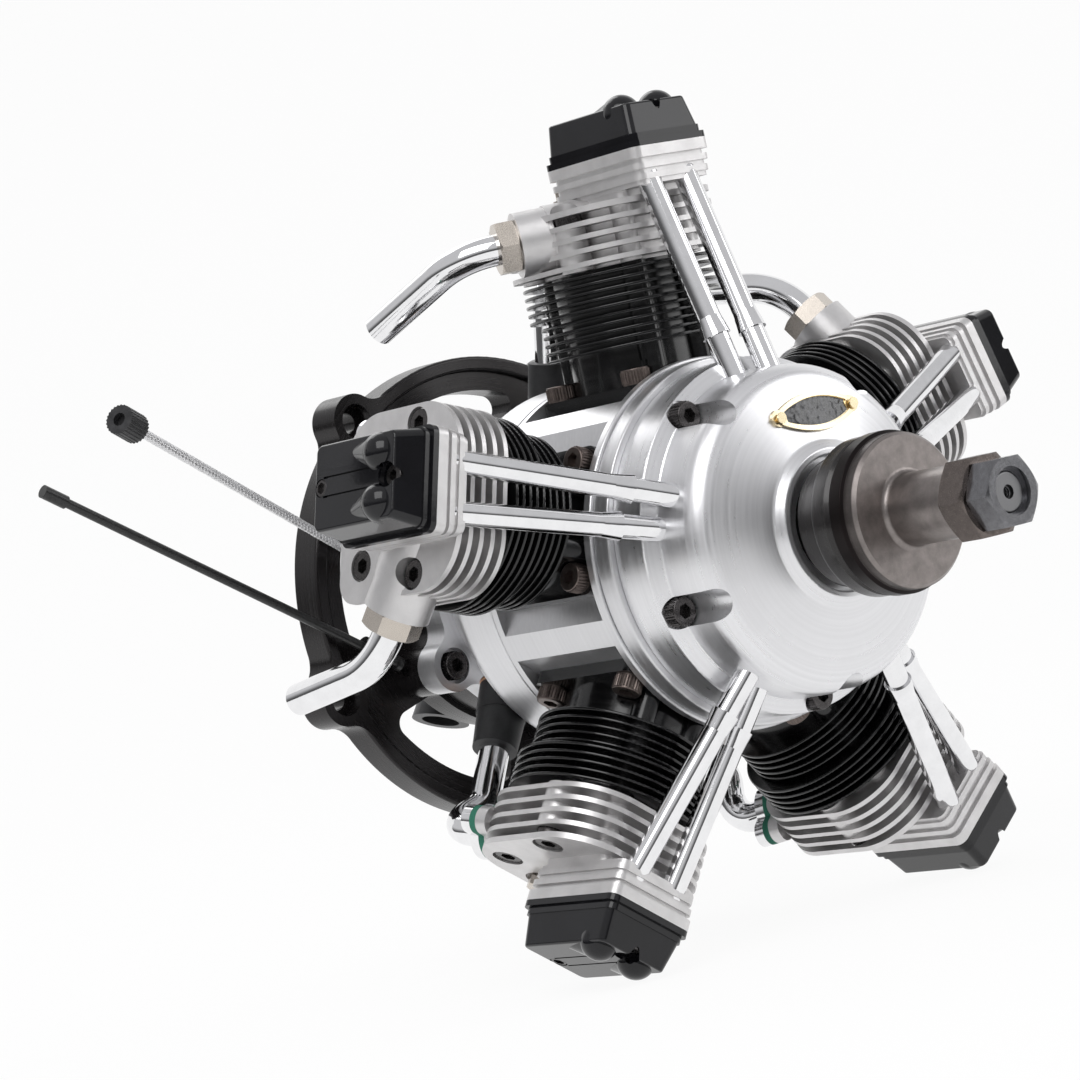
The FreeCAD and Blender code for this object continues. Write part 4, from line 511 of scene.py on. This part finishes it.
def turned_metal(name, colour, groove, roughness, depth=0.0004 * MM, metallic=1.0, axis_turn=0.0,
                 across_y=True, tone=0.08, coat=0.0):
    """Metal with fine concentric marks of the turning tool and faint handling marks."""
    made = Finish(name, Metallic=metallic, Coat_Weight=coat, Coat_Roughness=0.08)
    rings = made.turning(axis_turn, across_y)
    fine = made.noise(groove, 1.0, 0.5, rings)
    broad = made.noise(groove * 9.0, 2.0, 0.5, rings)
    cloud = made.noise(9.0 * MM, 3.0, 0.6)
    lines = made.maths("ADD", made.maths("MULTIPLY", fine, 0.6), made.maths("MULTIPLY", broad, 0.4))
    made.colour(made.blend(made.spread(lines, 0.0, 1.0), shade(colour, 1.0 - tone),
                           shade(colour, 1.0 + tone * 0.4)))
    uneven = made.maths("ADD", made.spread(fine, -0.04, 0.04), made.spread(cloud, -0.02, 0.03))
    made.roughness(made.maths("ADD", uneven, roughness))
    return made.done(made.relief(fine, depth))


def blasted_metal(name, colour, grain, roughness=0.44, metallic=0.88):
    """Metal blasted with glass beads, with darker dust in its pores."""
    made = Finish(name, Metallic=metallic)
    dimples = made.noise(grain, 3.0, 0.65)
    cloud = made.noise(6.0 * MM, 3.0, 0.55)
    made.colour(made.blend(made.spread(cloud, 0.0, 1.0), shade(colour, 0.90), shade(colour, 1.04)))
    made.roughness(made.spread(dimples, roughness - 0.05, roughness + 0.08))
    return made.done(made.relief(dimples, 0.03 * MM))


def plated_metal(name, colour, roughness, wave=0.0, scratch=0.0):
    """Polished plating with a slight orange peel and hairline scratches."""
    made = Finish(name, Metallic=1.0)
    peel = made.noise(2.2 * MM, 1.0, 0.4)
    smear = made.noise(5.0 * MM, 3.0, 0.6)
    hair = made.node("ShaderNodeMapping", {"Vector": made.place, "Scale": (1.0, 9.0, 2.0)})
    lines = made.noise(0.8 * MM, 4.0, 0.7, hair.outputs[0])
    made.colour(made.blend(made.spread(smear, 0.0, 1.0), shade(colour, 0.95), shade(colour, 1.03)))
    made.roughness(made.spread(lines, roughness, roughness + 0.05 + scratch))
    normal = made.relief(peel, 0.02 * MM, wave)
    return made.done(made.relief(lines, 0.004 * MM, 0.5, normal))


def lacquer(name, colour, roughness, coat, peel=0.012 * MM):
    """Gloss lacquer with a soft orange peel and a few specks of dust."""
    made = Finish(name, Coat_Weight=coat, Coat_Roughness=0.04, Specular_IOR_Level=0.3)
    skin = made.noise(1.6 * MM, 2.0, 0.5)
    dust = made.noise(0.35 * MM, 2.0, 0.5)
    cloud = made.noise(14.0 * MM, 2.0, 0.5)
    made.colour(made.blend(made.spread(cloud, 0.0, 1.0), shade(colour, 0.8), shade(colour, 1.3)))
    made.roughness(made.maths("ADD", made.spread(dust, 0.0, 0.06, 0.6, 0.75), roughness))
    return made.done(made.relief(skin, peel))


def oxide_steel(name, colour, roughness, metallic=0.85):
    """Oxidised steel with mottled tone and rubbed lighter patches."""
    made = Finish(name, Metallic=metallic)
    mottle = made.noise(1.4 * MM, 4.0, 0.62)
    rubbed = made.noise(0.35 * MM, 3.0, 0.6)
    made.colour(made.blend(made.spread(mottle, 0.0, 1.0), shade(colour, 0.8), shade(colour, 1.2)))
    made.roughness(made.spread(rubbed, roughness - 0.05, roughness + 0.07))
    return made.done(made.relief(rubbed, 0.004 * MM))


def phosphated(name, face, rim, reach):
    """Phosphated steel, speckled on its faces and dark on a rim beyond a radius."""
    made = Finish(name, Metallic=0.9)
    rings = made.turning()
    marks = made.noise(0.3 * MM, 2.0, 0.6, rings)
    speck = made.noise(0.22 * MM, 3.0, 0.7)
    stain = made.noise(4.0 * MM, 4.0, 0.6)
    tone = made.blend(made.spread(stain, 0.0, 1.0), shade(face, 0.75), shade(face, 1.15))
    flecked = made.blend(made.spread(speck, 0.0, 0.5, 0.62, 0.74), tone, shade(face, 2.2))
    radius = made.node("ShaderNodeSeparateXYZ", {"Vector": rings}).outputs["X"]
    outer = made.spread(radius, 0.0, 1.0, reach, reach + 0.3 * MM)
    made.colour(made.blend(outer, flecked, shade(rim, 1.0)))
    made.roughness(made.maths("ADD", made.spread(speck, -0.05, 0.08), 0.34))
    return made.done(made.relief(marks, 0.002 * MM))


def rubber(name, colour=(0.012, 0.012, 0.013)):
    """Soft rubber with a fine grain and a faint bloom."""
    made = Finish(name, Sheen_Weight=0.15, Sheen_Roughness=0.4)
    grain = made.noise(0.22 * MM, 3.0, 0.6)
    bloom = made.noise(3.5 * MM, 3.0, 0.6)
    made.colour(made.blend(made.spread(bloom, 0.0, 1.0), shade(colour, 0.8), shade(colour, 1.9)))
    made.roughness(made.spread(grain, 0.44, 0.6))
    return made.done(made.relief(grain, 0.02 * MM))


def paper(name, colour):
    """Pressed gasket paper with fibres."""
    made = Finish(name)
    fibre = made.noise(0.4 * MM, 4.0, 0.7)
    made.colour(made.blend(made.spread(fibre, 0.0, 1.0), shade(colour, 0.7), shade(colour, 1.2)))
    made.roughness(made.spread(fibre, 0.7, 0.85))
    return made.done(made.relief(fibre, 0.02 * MM))


def enamel(name):
    """Black crackle enamel of the name plate."""
    made = Finish(name, Coat_Weight=0.6, Coat_Roughness=0.12)
    wrinkle = made.noise(0.9 * MM, 4.0, 0.65)
    # Lighter on the wrinkle crests: partly the enamel's own pale crackle, partly a painted glint.
    made.colour(made.blend(made.spread(wrinkle, 0.0, 1.0, 0.45, 0.7), (0.003, 0.003, 0.004, 1.0),
                           (0.09, 0.09, 0.10, 1.0)))
    made.roughness(made.spread(wrinkle, 0.18, 0.40))
    return made.done(made.relief(wrinkle, 0.08 * MM))


def knob_plastic(name):
    """Moulded black plastic, dusty in its knurling."""
    made = Finish(name)
    grain = made.noise(0.3 * MM, 2.0, 0.5)
    cloud = made.noise(2.0 * MM, 3.0, 0.5)
    made.colour(made.blend(made.spread(cloud, 0.0, 1.0), (0.012, 0.012, 0.013, 1.0),
                           (0.035, 0.035, 0.037, 1.0)))
    made.roughness(made.spread(grain, 0.3, 0.42))
    return made.done(made.relief(grain, 0.01 * MM))


def dress(finish, *nodes):
    """Give CAD nodes a finish."""
    for name in nodes:
        if name not in frame["nodes"]:
            raise RuntimeError("no CAD node named " + name)
        for slot in frame["nodes"][name].material_slots:
            slot.material = finish


def numbered(name):
    """The five names of a node that stands on every cylinder."""
    return [name + "_" + str(number + 1) for number in range(CYLINDERS)]


# Operators, one for each group of like pieces

class ENGINE_OT_case(bpy.types.Operator):
    """Turned aluminium for the crankcase, carrier, gear case and rear cover"""
    bl_idname = "engine.case"
    bl_label = "Finish case"

    def execute(self, context):
        props = context.scene.engine_case
        dress(turned_metal("gear_case_turned", props.colour, props.groove, 0.31, metallic=0.86),
              "gear_case")
        # Painted shade: crankcase and carrier wear the aluminium at 0.88, darker than the gear case
        # that faces the light.
        dress(turned_metal("crankcase_turned_painted_shade", shade(props.colour, 0.88), props.groove * 1.2, 0.33,
                           metallic=0.86),
              "crankcase", "bearing_carrier")
        dress(turned_metal("rear_cover_turned", shade(props.colour, 0.97), props.groove * 1.2, 0.36,
                           metallic=0.86),
              "induction_cover")
        return {"FINISHED"}


class ENGINE_OT_plate(bpy.types.Operator):
    """Brass name plate with a blank field of black crackle enamel"""
    bl_idname = "engine.plate"
    bl_label = "Finish name plate"

    def execute(self, context):
        dress(plated_metal("plate_brass", (0.80, 0.68, 0.46), 0.2, 0.2, 0.08), "name_plate")
        low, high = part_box("name_plate")
        source = frame["nodes"]["name_plate"]
        tree = BVHTree.FromObject(source, context.evaluated_depsgraph_get())
        middle = (low + high) / 2.0
        half_l = (high.x - low.x) / 2.0 - PLATE_END
        point_l = (high.x - low.x) / 2.0 - PLATE_POINT
        half_h = (high.z - low.z) / 2.0 - PLATE_RIM
        crackle = context.scene.engine_fittings.crackle
        columns, rows = PLATE_GRID

        def build(work):
            grid = []
            for column in range(columns + 1):
                along = -1.0 + 2.0 * column / columns
                reach = half_h * (1.0 - (along * half_l / point_l) ** 2)
                line = []
                for row in range(rows + 1):
                    across = -1.0 + 2.0 * row / rows
                    x = middle.x + along * half_l
                    z = middle.z + across * reach
                    hit = tree.ray_cast(Vector((x, low.y - 0.01, z)), Vector((0.0, 1.0, 0.0)))
                    y = hit[0].y if hit[0] else middle.y
                    line.append((x, y, z, abs(across)))
                grid.append(line)
            made = []
            for column, line in enumerate(grid):
                edge = min(column, columns - column) / columns
                verts = []
                for x, y, z, across in line:
                    spot = Vector((x, 0.0, z)) / WRINKLE
                    rough = noise.noise(spot) + 0.6 * noise.noise(spot * 2.3)
                    lift = ENAMEL_LIFT + crackle * rough
                    fall = min(1.0, edge * 12.0, (1.0 - across) * 5.0)
                    verts.append(work.verts.new((x, y - max(ENAMEL_LEAST, lift * fall), z)))
                made.append(verts)
            for column in range(columns):
                for row in range(rows):
                    work.faces.new((made[column][row], made[column + 1][row],
                                    made[column + 1][row + 1], made[column][row + 1]))
            bmesh.ops.remove_doubles(work, verts=work.verts, dist=0.005 * MM)
            for face in work.faces:
                face.smooth = True
            work.normal_update()
            if sum(face.normal.y for face in work.faces) > 0:
                bmesh.ops.reverse_faces(work, faces=work.faces)

        field = mesh_from("plate_enamel", build)
        piece("plate_enamel", field, "engine", enamel("plate_enamel"))
        return {"FINISHED"}


class ENGINE_OT_mount(bpy.types.Operator):
    """Satin black mount ring"""
    bl_idname = "engine.mount"
    bl_label = "Finish mount ring"

    def execute(self, context):
        dress(turned_metal("ring_anodised", (0.020, 0.018, 0.0185), 0.8 * MM, 0.25, 0.0006 * MM,
                           0.5, tone=0.2),
              "mount_ring")
        return {"FINISHED"}


class ENGINE_OT_barrels(bpy.types.Operator):
    """Black anodised barrels, each turned about its own axis"""
    bl_idname = "engine.barrels"
    bl_label = "Finish barrels"

    def execute(self, context):
        colour = context.scene.engine_barrels.colour
        for step, name in enumerate(numbered("cylinder")):
            finish = turned_metal(name + "_anodised", colour, 0.6 * MM, 0.20, 0.0006 * MM, 0.2,
                                  axis_turn=SHARE * step, across_y=False, tone=0.2, coat=0.25)
            dress(finish, name)
        return {"FINISHED"}


class ENGINE_OT_heads(bpy.types.Operator):
    """Blasted heads and lacquered valve covers"""
    bl_idname = "engine.heads"
    bl_label = "Finish heads"

    def execute(self, context):
        props = context.scene.engine_heads
        dress(blasted_metal("head_blasted", props.metal, props.grain, 0.40),
              *numbered("cylinder_head"))
        dress(lacquer("cover_lacquer", props.lacquer, 0.12, 0.22), *numbered("valve_cover"))
        return {"FINISHED"}


class ENGINE_OT_pipes(bpy.types.Operator):
    """Chromed tubes, nickel nuts, rubber boots and paper gaskets"""
    bl_idname = "engine.pipes"
    bl_label = "Finish pipes"

    def execute(self, context):
        chrome = plated_metal("chrome", (0.86, 0.86, 0.87), 0.045, 0.25)
        dress(chrome, "pushrod_tubes", "inlet_pipes", *numbered("exhaust_pipe"))
        dress(plated_metal("nickel", (0.58, 0.53, 0.475), 0.2, 0.3, 0.1),
              "exhaust_nuts", "glow_plugs")
        dress(rubber("boot_rubber"), "inlet_boots")
        dress(paper("gasket_paper", (0.03, 0.20, 0.13)), "inlet_gaskets")
        return {"FINISHED"}


class ENGINE_OT_fasteners(bpy.types.Operator):
    """Oxidised screws with knurled heads"""
    bl_idname = "engine.fasteners"
    bl_label = "Finish fasteners"

    def execute(self, context):
        black = oxide_steel("screw_black", (0.075, 0.070, 0.070), 0.26)
        brown = oxide_steel("screw_brown", (0.16, 0.13, 0.118), 0.34)
        dress(black, "gear_case_screws", "mount_screws", "cover_screws", "head_bolts",
              "carb_screws")
        dress(brown, "base_screws")
        tree = knurl_tree()
        ridges = context.scene.engine_fittings.ridges
        for node, way_of, finish, slot in (
                ("gear_case_screws", forward, black, "black_steel"),
                ("mount_screws", forward, black, "black_steel"),
                ("base_screws", outward, brown, "brown_steel")):
            heads = socket_heads(node, way_of)
            radius = max(head[2] for head in heads)
            places = [(centre - way * KNURL_SINK, way) for centre, way, _ in heads]
            made = grown(node + "_knurl", points_with_way(node + "_knurl", places), tree,
                         {"Head radius": radius + 0.02 * MM, "Depth": KNURL_DEPTH,
                          "Ridges": ridges}, "engine", finish)
        return {"FINISHED"}


class ENGINE_OT_hub(bpy.types.Operator):
    """Propeller hub, washer and nuts"""
    bl_idname = "engine.hub"
    bl_label = "Finish hub"

    def execute(self, context):
        dress(turned_metal("hub_anodised", (0.018, 0.016, 0.016), 0.6 * MM, 0.24, 0.001 * MM, 0.3,
                           tone=0.2, coat=0.2), "drive_hub")
        dress(phosphated("washer_phosphated", (0.25, 0.225, 0.215), (0.014, 0.011, 0.011),
                         WASHER_FACE_R),
              "prop_washer")
        dress(oxide_steel("nut_phosphated", (0.15, 0.128, 0.118), 0.22, 0.9), "prop_nut")
        dress(oxide_steel("nut_oiled", (0.19, 0.19, 0.20), 0.18, 0.9), "lock_nut")
        dress(turned_metal("shaft_ground", (0.20, 0.20, 0.205), 0.2 * MM, 0.32), "crankshaft")
        return {"FINISHED"}


class ENGINE_OT_controls(bpy.types.Operator):
    """Carburettor, needle cable with its braid, knob and choke rod"""
    bl_idname = "engine.controls"
    bl_label = "Finish controls"

    def execute(self, context):
        props = context.scene.engine_cable
        dress(blasted_metal("carburettor_black", (0.05, 0.05, 0.052), 0.3 * MM, 0.4, 0.4),
              "carburettor")
        dress(plated_metal("barrel_brass", (0.80, 0.62, 0.36), 0.22, 0.2, 0.1),
              "throttle_barrel")
        steel = plated_metal("cable_steel", (0.78, 0.78, 0.79), 0.24, 0.2, 0.08)
        dress(steel, "needle")
        dress(knob_plastic("knob_black"), "needle_knob")
        dress(oxide_steel("rod_black", (0.03, 0.03, 0.03), 0.3, 0.4), "choke_rod")
        joint = next(item for item in frame["joints"] if item["name"] == "needle_turn")
        way = Vector(joint["axis"]).normalized()
        if way.x > 0:
            way = -way
        points = [vert.co for vert in frame["nodes"]["needle"].data.vertices]
        knob_low = min(vert.co.dot(way) for vert in frame["nodes"]["needle_knob"].data.vertices)
        end = max(points, key=lambda point: point.dot(way))
        collar = max(point.dot(way) for point in points if off_axis(point, end, way) > COLLAR_R)
        tip = centre_of([point for point in points if point.dot(way) > end.dot(way) - 0.1 * MM])
        start = tip + way * (collar + BRAID_GAP - tip.dot(way))
        length = knob_low - (collar + BRAID_GAP) - BRAID_GAP
        turn = way.to_track_quat("Z", "Y").to_euler()
        mesh = points_with_way("cable_braid", [(Vector(), way)])
        made = grown("cable_braid", mesh, helix_tree("cable_braid", (False, True)), {
            "Length": length, "Core radius": BRAID_CORE, "Wire radius": props.wire / 2.0,
            "Lay": props.pitch, "Strands": props.strands, "Place": start, "Turn": turn},
            "needle_valve", steel)
        return {"FINISHED"}


class ENGINE_OT_boot_rings(bpy.types.Operator):
    """Copper rings that hold the boots on the cover"""
    bl_idname = "engine.boot_rings"
    bl_label = "Add boot rings"

    def execute(self, context):
        thick = context.scene.engine_fittings.ring
        shells = islands("inlet_boots")
        first = max(shells, key=lambda shell: centre_of(shell).z)
        middle = centre_of(first)
        way = Vector((0.0, 0.0, 1.0))
        for _ in range(AXIS_ROUNDS):
            low = [point for point in first if (point - middle).dot(way) < 0]
            high = [point for point in first if (point - middle).dot(way) >= 0]
            way = (centre_of(high) - centre_of(low)).normalized()
        foot = min(point.dot(way) for point in first)
        centre = middle + way * (foot - middle.dot(way) + thick * 0.75)
        near = [point for point in first if point.dot(way) < foot + 1.0 * MM]
        radius = max(off_axis(point, centre, way) for point in near)
        side = way.orthogonal().normalized()
        other = way.cross(side)

        def build(work):
            rings = []
            for index in range(RING_STEPS):
                angle = math.tau * index / RING_STEPS
                arm = side * math.cos(angle) + other * math.sin(angle)
                ring = []
                for part in range(RING_SIDES):
                    turn = math.tau * part / RING_SIDES
                    reach = radius + RING_GAP + thick / 2.0 * math.cos(turn)
                    rise = way * (thick * 0.6 * math.sin(turn))
                    ring.append(work.verts.new(centre + arm * reach + rise))
                rings.append(ring)
            for index in range(RING_STEPS):
                here, there = rings[index], rings[(index + 1) % RING_STEPS]
                for part in range(RING_SIDES):
                    after = (part + 1) % RING_SIDES
                    work.faces.new((here[part], here[after], there[after], there[part]))
            for face in work.faces:
                face.smooth = True
            bmesh.ops.recalc_face_normals(work, faces=work.faces)

        copper = plated_metal("ring_copper", (0.72, 0.40, 0.24), 0.25, 0.2, 0.1)
        made = grown("boot_rings", mesh_from("boot_ring", build), copies_tree(),
                     {"Copies": CYLINDERS}, "engine", copper)
        return {"FINISHED"}


class ENGINE_OT_small(bpy.types.Operator):
    """Thread in the bore of the shaft end"""
    bl_idname = "engine.small"
    bl_label = "Add shaft thread"

    def execute(self, context):
        low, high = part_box("lock_nut")
        middle = (low + high) / 2.0
        start = Vector((middle.x, low.y + THREAD_DEPTH, middle.z))
        turn = Vector((0.0, 1.0, 0.0)).to_track_quat("Z", "Y").to_euler()
        thread = oxide_steel("thread_steel", (0.16, 0.16, 0.165), 0.3, 0.9)
        made = grown("bore_thread", points_with_way("bore_thread", [(Vector(), Vector((0, 1, 0)))]),
                     helix_tree("bore_thread", (False,)),
                     dict(THREAD, Place=start, Turn=turn), "crank", thread)
        return {"FINISHED"}


class ENGINE_OT_inner(bpy.types.Operator):
    """Machined finishes of the parts inside"""
    bl_idname = "engine.inner"
    bl_label = "Finish inner parts"

    def execute(self, context):
        dress(blasted_metal("piston_alloy", (0.74, 0.74, 0.75), 0.3 * MM, 0.34),
              "pistons", "master_rod", "link_rods")
        dress(turned_metal("ground_steel", (0.66, 0.66, 0.68), 0.25 * MM, 0.22),
              "cam_drum", "idler_gear", "main_bearings", "knuckle_pins", "wrist_pins",
              "rocker_arms", "valves", "valve_springs", "pushrods")
        return {"FINISHED"}


class ENGINE_OT_stage(bpy.types.Operator):
    """Pale floor and backdrop, soft lamps and the camera of the photograph"""
    bl_idname = "engine.stage"
    bl_label = "Set stage"

    def execute(self, context):
        props = context.scene.engine_stage
        context.scene.view_settings.view_transform = "Standard"
        self.sweep(context, props)
        self.room(context)
        aim = (Vector(CAD_BOX[0]) + Vector(CAD_BOX[1])) / 2.0
        self.lamp("key", aim, Vector((-0.75, -0.55, 0.95)), 0.9, props.key)
        self.lamp("fill", aim, Vector((0.95, -0.85, 0.35)), 0.7, props.fill)
        self.lamp("back", aim, Vector((0.25, 0.9, 1.0)), 0.8, props.fill)
        self.camera(context)
        return {"FINISHED"}

    def sweep(self, context, props):
        """Floor that curves up into a backdrop behind the engine."""
        floor = CAD_BOX[0][2] - FLOOR_GAP
        away = (CAMERA_TO - CAMERA_AT).to_2d().normalized()
        side = Vector((away.y, -away.x))
        profile = [(SWEEP_FRONT, floor)]
        for index in range(SWEEP_STEPS + 1):
            turn = math.pi / 2.0 * index / SWEEP_STEPS
            profile.append((SWEEP_BACK - SWEEP_BEND + SWEEP_BEND * math.sin(turn),
                            floor + SWEEP_BEND - SWEEP_BEND * math.cos(turn)))
        profile.append((SWEEP_BACK, floor + SWEEP_TOP))

        def build(work):
            lines = []
            for along, height in profile:
                ends = []
                for across in (-SWEEP_WIDE, SWEEP_WIDE):
                    spot = away * along + side * across
                    ends.append(work.verts.new((spot.x, spot.y, height)))
                lines.append(ends)
            for low, high in zip(lines, lines[1:]):
                work.faces.new((low[0], low[1], high[1], high[0]))
            for face in work.faces:
                face.smooth = True
            work.normal_update()
            if work.faces[:][0].normal.z < 0:
                bmesh.ops.reverse_faces(work, faces=work.faces)

        cloth = Finish("backdrop_paper", Roughness=0.9)
        cloth.colour(cloth.blend(cloth.noise(0.4, 2.0), shade(props.floor, 0.985),
                                 shade(props.floor, 1.0)))
        path = cloth.node("ShaderNodeLightPath").outputs
        glow = cloth.node("ShaderNodeEmission", {"Color": (1.0, 1.0, 1.0, 1.0), "Strength": 1.0})
        seen = cloth.maths("MAXIMUM", path["Is Camera Ray"], path["Is Transmission Ray"])
        seen = cloth.maths("MAXIMUM", seen, path["Is Glossy Ray"])
        mix = cloth.node("ShaderNodeMixShader", {
            0: cloth.maths("MULTIPLY", seen, SWEEP_GLOW), 1: cloth.shader.outputs[0],
            2: glow.outputs[0]})
        cloth.tree.links.new(mix.outputs[0], cloth.tree.nodes["Material Output"].inputs["Surface"])
        made = bpy.data.objects.new("studio_sweep", mesh_from("studio_sweep", build))
        context.scene.collection.objects.link(made)
        made.data.materials.append(cloth.done())

    def room(self, context):
        """Soft room light, bright above and dim along the horizon; white to the camera."""
        world = bpy.data.worlds.new("studio_room")
        context.scene.world = world
        world.use_nodes = True
        tree = world.node_tree
        room = tree.nodes["Background"]
        room.inputs["Color"].default_value = (0.98, 0.98, 1.0, 1.0)
        ways = tree.nodes.new("ShaderNodeTexCoord")
        parts = tree.nodes.new("ShaderNodeSeparateXYZ")
        rise = tree.nodes.new("ShaderNodeMapRange")
        rise.interpolation_type = "SMOOTHSTEP"
        for label, value in ROOM_LIGHT:
            rise.inputs[label].default_value = value
        tree.links.new(ways.outputs["Generated"], parts.inputs[0])
        tree.links.new(parts.outputs["Z"], rise.inputs["Value"])
        tree.links.new(rise.outputs[0], room.inputs["Strength"])
        white = tree.nodes.new("ShaderNodeBackground")
        white.inputs["Color"].default_value = (1.0, 1.0, 1.0, 1.0)
        path = tree.nodes.new("ShaderNodeLightPath")
        mix = tree.nodes.new("ShaderNodeMixShader")
        tree.links.new(path.outputs["Is Camera Ray"], mix.inputs[0])
        tree.links.new(room.outputs[0], mix.inputs[1])
        tree.links.new(white.outputs[0], mix.inputs[2])
        tree.links.new(mix.outputs[0], tree.nodes["World Output"].inputs["Surface"])

    def lamp(self, name, aim, way, size, power):
        """Square soft lamp that looks at the engine."""
        data = bpy.data.lights.new(name, "AREA")
        data.shape = "SQUARE"
        data.size = size
        data.energy = power
        made = bpy.data.objects.new(name, data)
        facing = way.to_track_quat("Z", "Y").to_matrix().to_4x4()
        made.matrix_world = Matrix.Translation(aim + way) @ facing
        bpy.context.scene.collection.objects.link(made)

    def camera(self, context):
        """Camera at the place and lens of the photograph."""
        data = bpy.data.cameras.new("photo_camera")
        data.sensor_fit = "HORIZONTAL"
        data.sensor_width = 36.0
        data.lens = CAMERA_LENS
        data.clip_start = 0.05
        data.clip_end = 20.0
        look = (CAMERA_TO - CAMERA_AT).normalized()
        right = look.cross(Vector((0.0, 0.0, 1.0))).normalized()
        up = right.cross(look)
        turned_right = right * math.cos(CAMERA_ROLL) + up * math.sin(CAMERA_ROLL)
        turned_up = up * math.cos(CAMERA_ROLL) - right * math.sin(CAMERA_ROLL)
        made = bpy.data.objects.new("photo_camera", data)
        axes = Matrix((turned_right, turned_up, -look)).transposed()
        made.matrix_world = Matrix.Translation(CAMERA_AT) @ axes.to_4x4()
        context.scene.collection.objects.link(made)
        context.scene.camera = made


PROPS = (("engine_case", CaseProps), ("engine_barrels", BarrelProps), ("engine_heads", HeadProps),
         ("engine_cable", CableProps), ("engine_fittings", FittingProps),
         ("engine_stage", StageProps))
OPERATORS = (ENGINE_OT_case, ENGINE_OT_plate, ENGINE_OT_mount, ENGINE_OT_barrels, ENGINE_OT_heads,
             ENGINE_OT_pipes, ENGINE_OT_fasteners, ENGINE_OT_hub, ENGINE_OT_controls,
             ENGINE_OT_boot_rings, ENGINE_OT_small, ENGINE_OT_inner, ENGINE_OT_stage)


class ENGINE_PT_finish(bpy.types.Panel):
    """Sidebar panel with the sizes, colours and steps"""
    bl_label = "Radial engine"
    bl_space_type = "VIEW_3D"
    bl_region_type = "UI"
    bl_category = "Engine"

    def draw(self, context):
        for attribute, group in PROPS:
            box = self.layout.box()
            settings = getattr(context.scene, attribute)
            for name in group.__annotations__:
                box.prop(settings, name)
        for operator in OPERATORS:
            self.layout.operator(operator.bl_idname)


def register():
    """Register the classes and hang their settings on the scene."""
    for attribute, group in PROPS:
        bpy.utils.register_class(group)
        setattr(bpy.types.Scene, attribute, bpy.props.PointerProperty(type=group))
    for operator in OPERATORS:
        bpy.utils.register_class(operator)
    bpy.utils.register_class(ENGINE_PT_finish)


def unregister():
    """Take the classes and settings away again."""
    bpy.utils.unregister_class(ENGINE_PT_finish)
    for operator in reversed(OPERATORS):
        bpy.utils.unregister_class(operator)
    for attribute, group in reversed(PROPS):
        delattr(bpy.types.Scene, attribute)
        bpy.utils.unregister_class(group)


def main():
    """Register the classes, dress the engine and set the stage."""
    register()
    for operator in OPERATORS:
        group, name = operator.bl_idname.split(".")
        getattr(getattr(bpy.ops, group), name)()


if __name__ == "__main__":
    main()
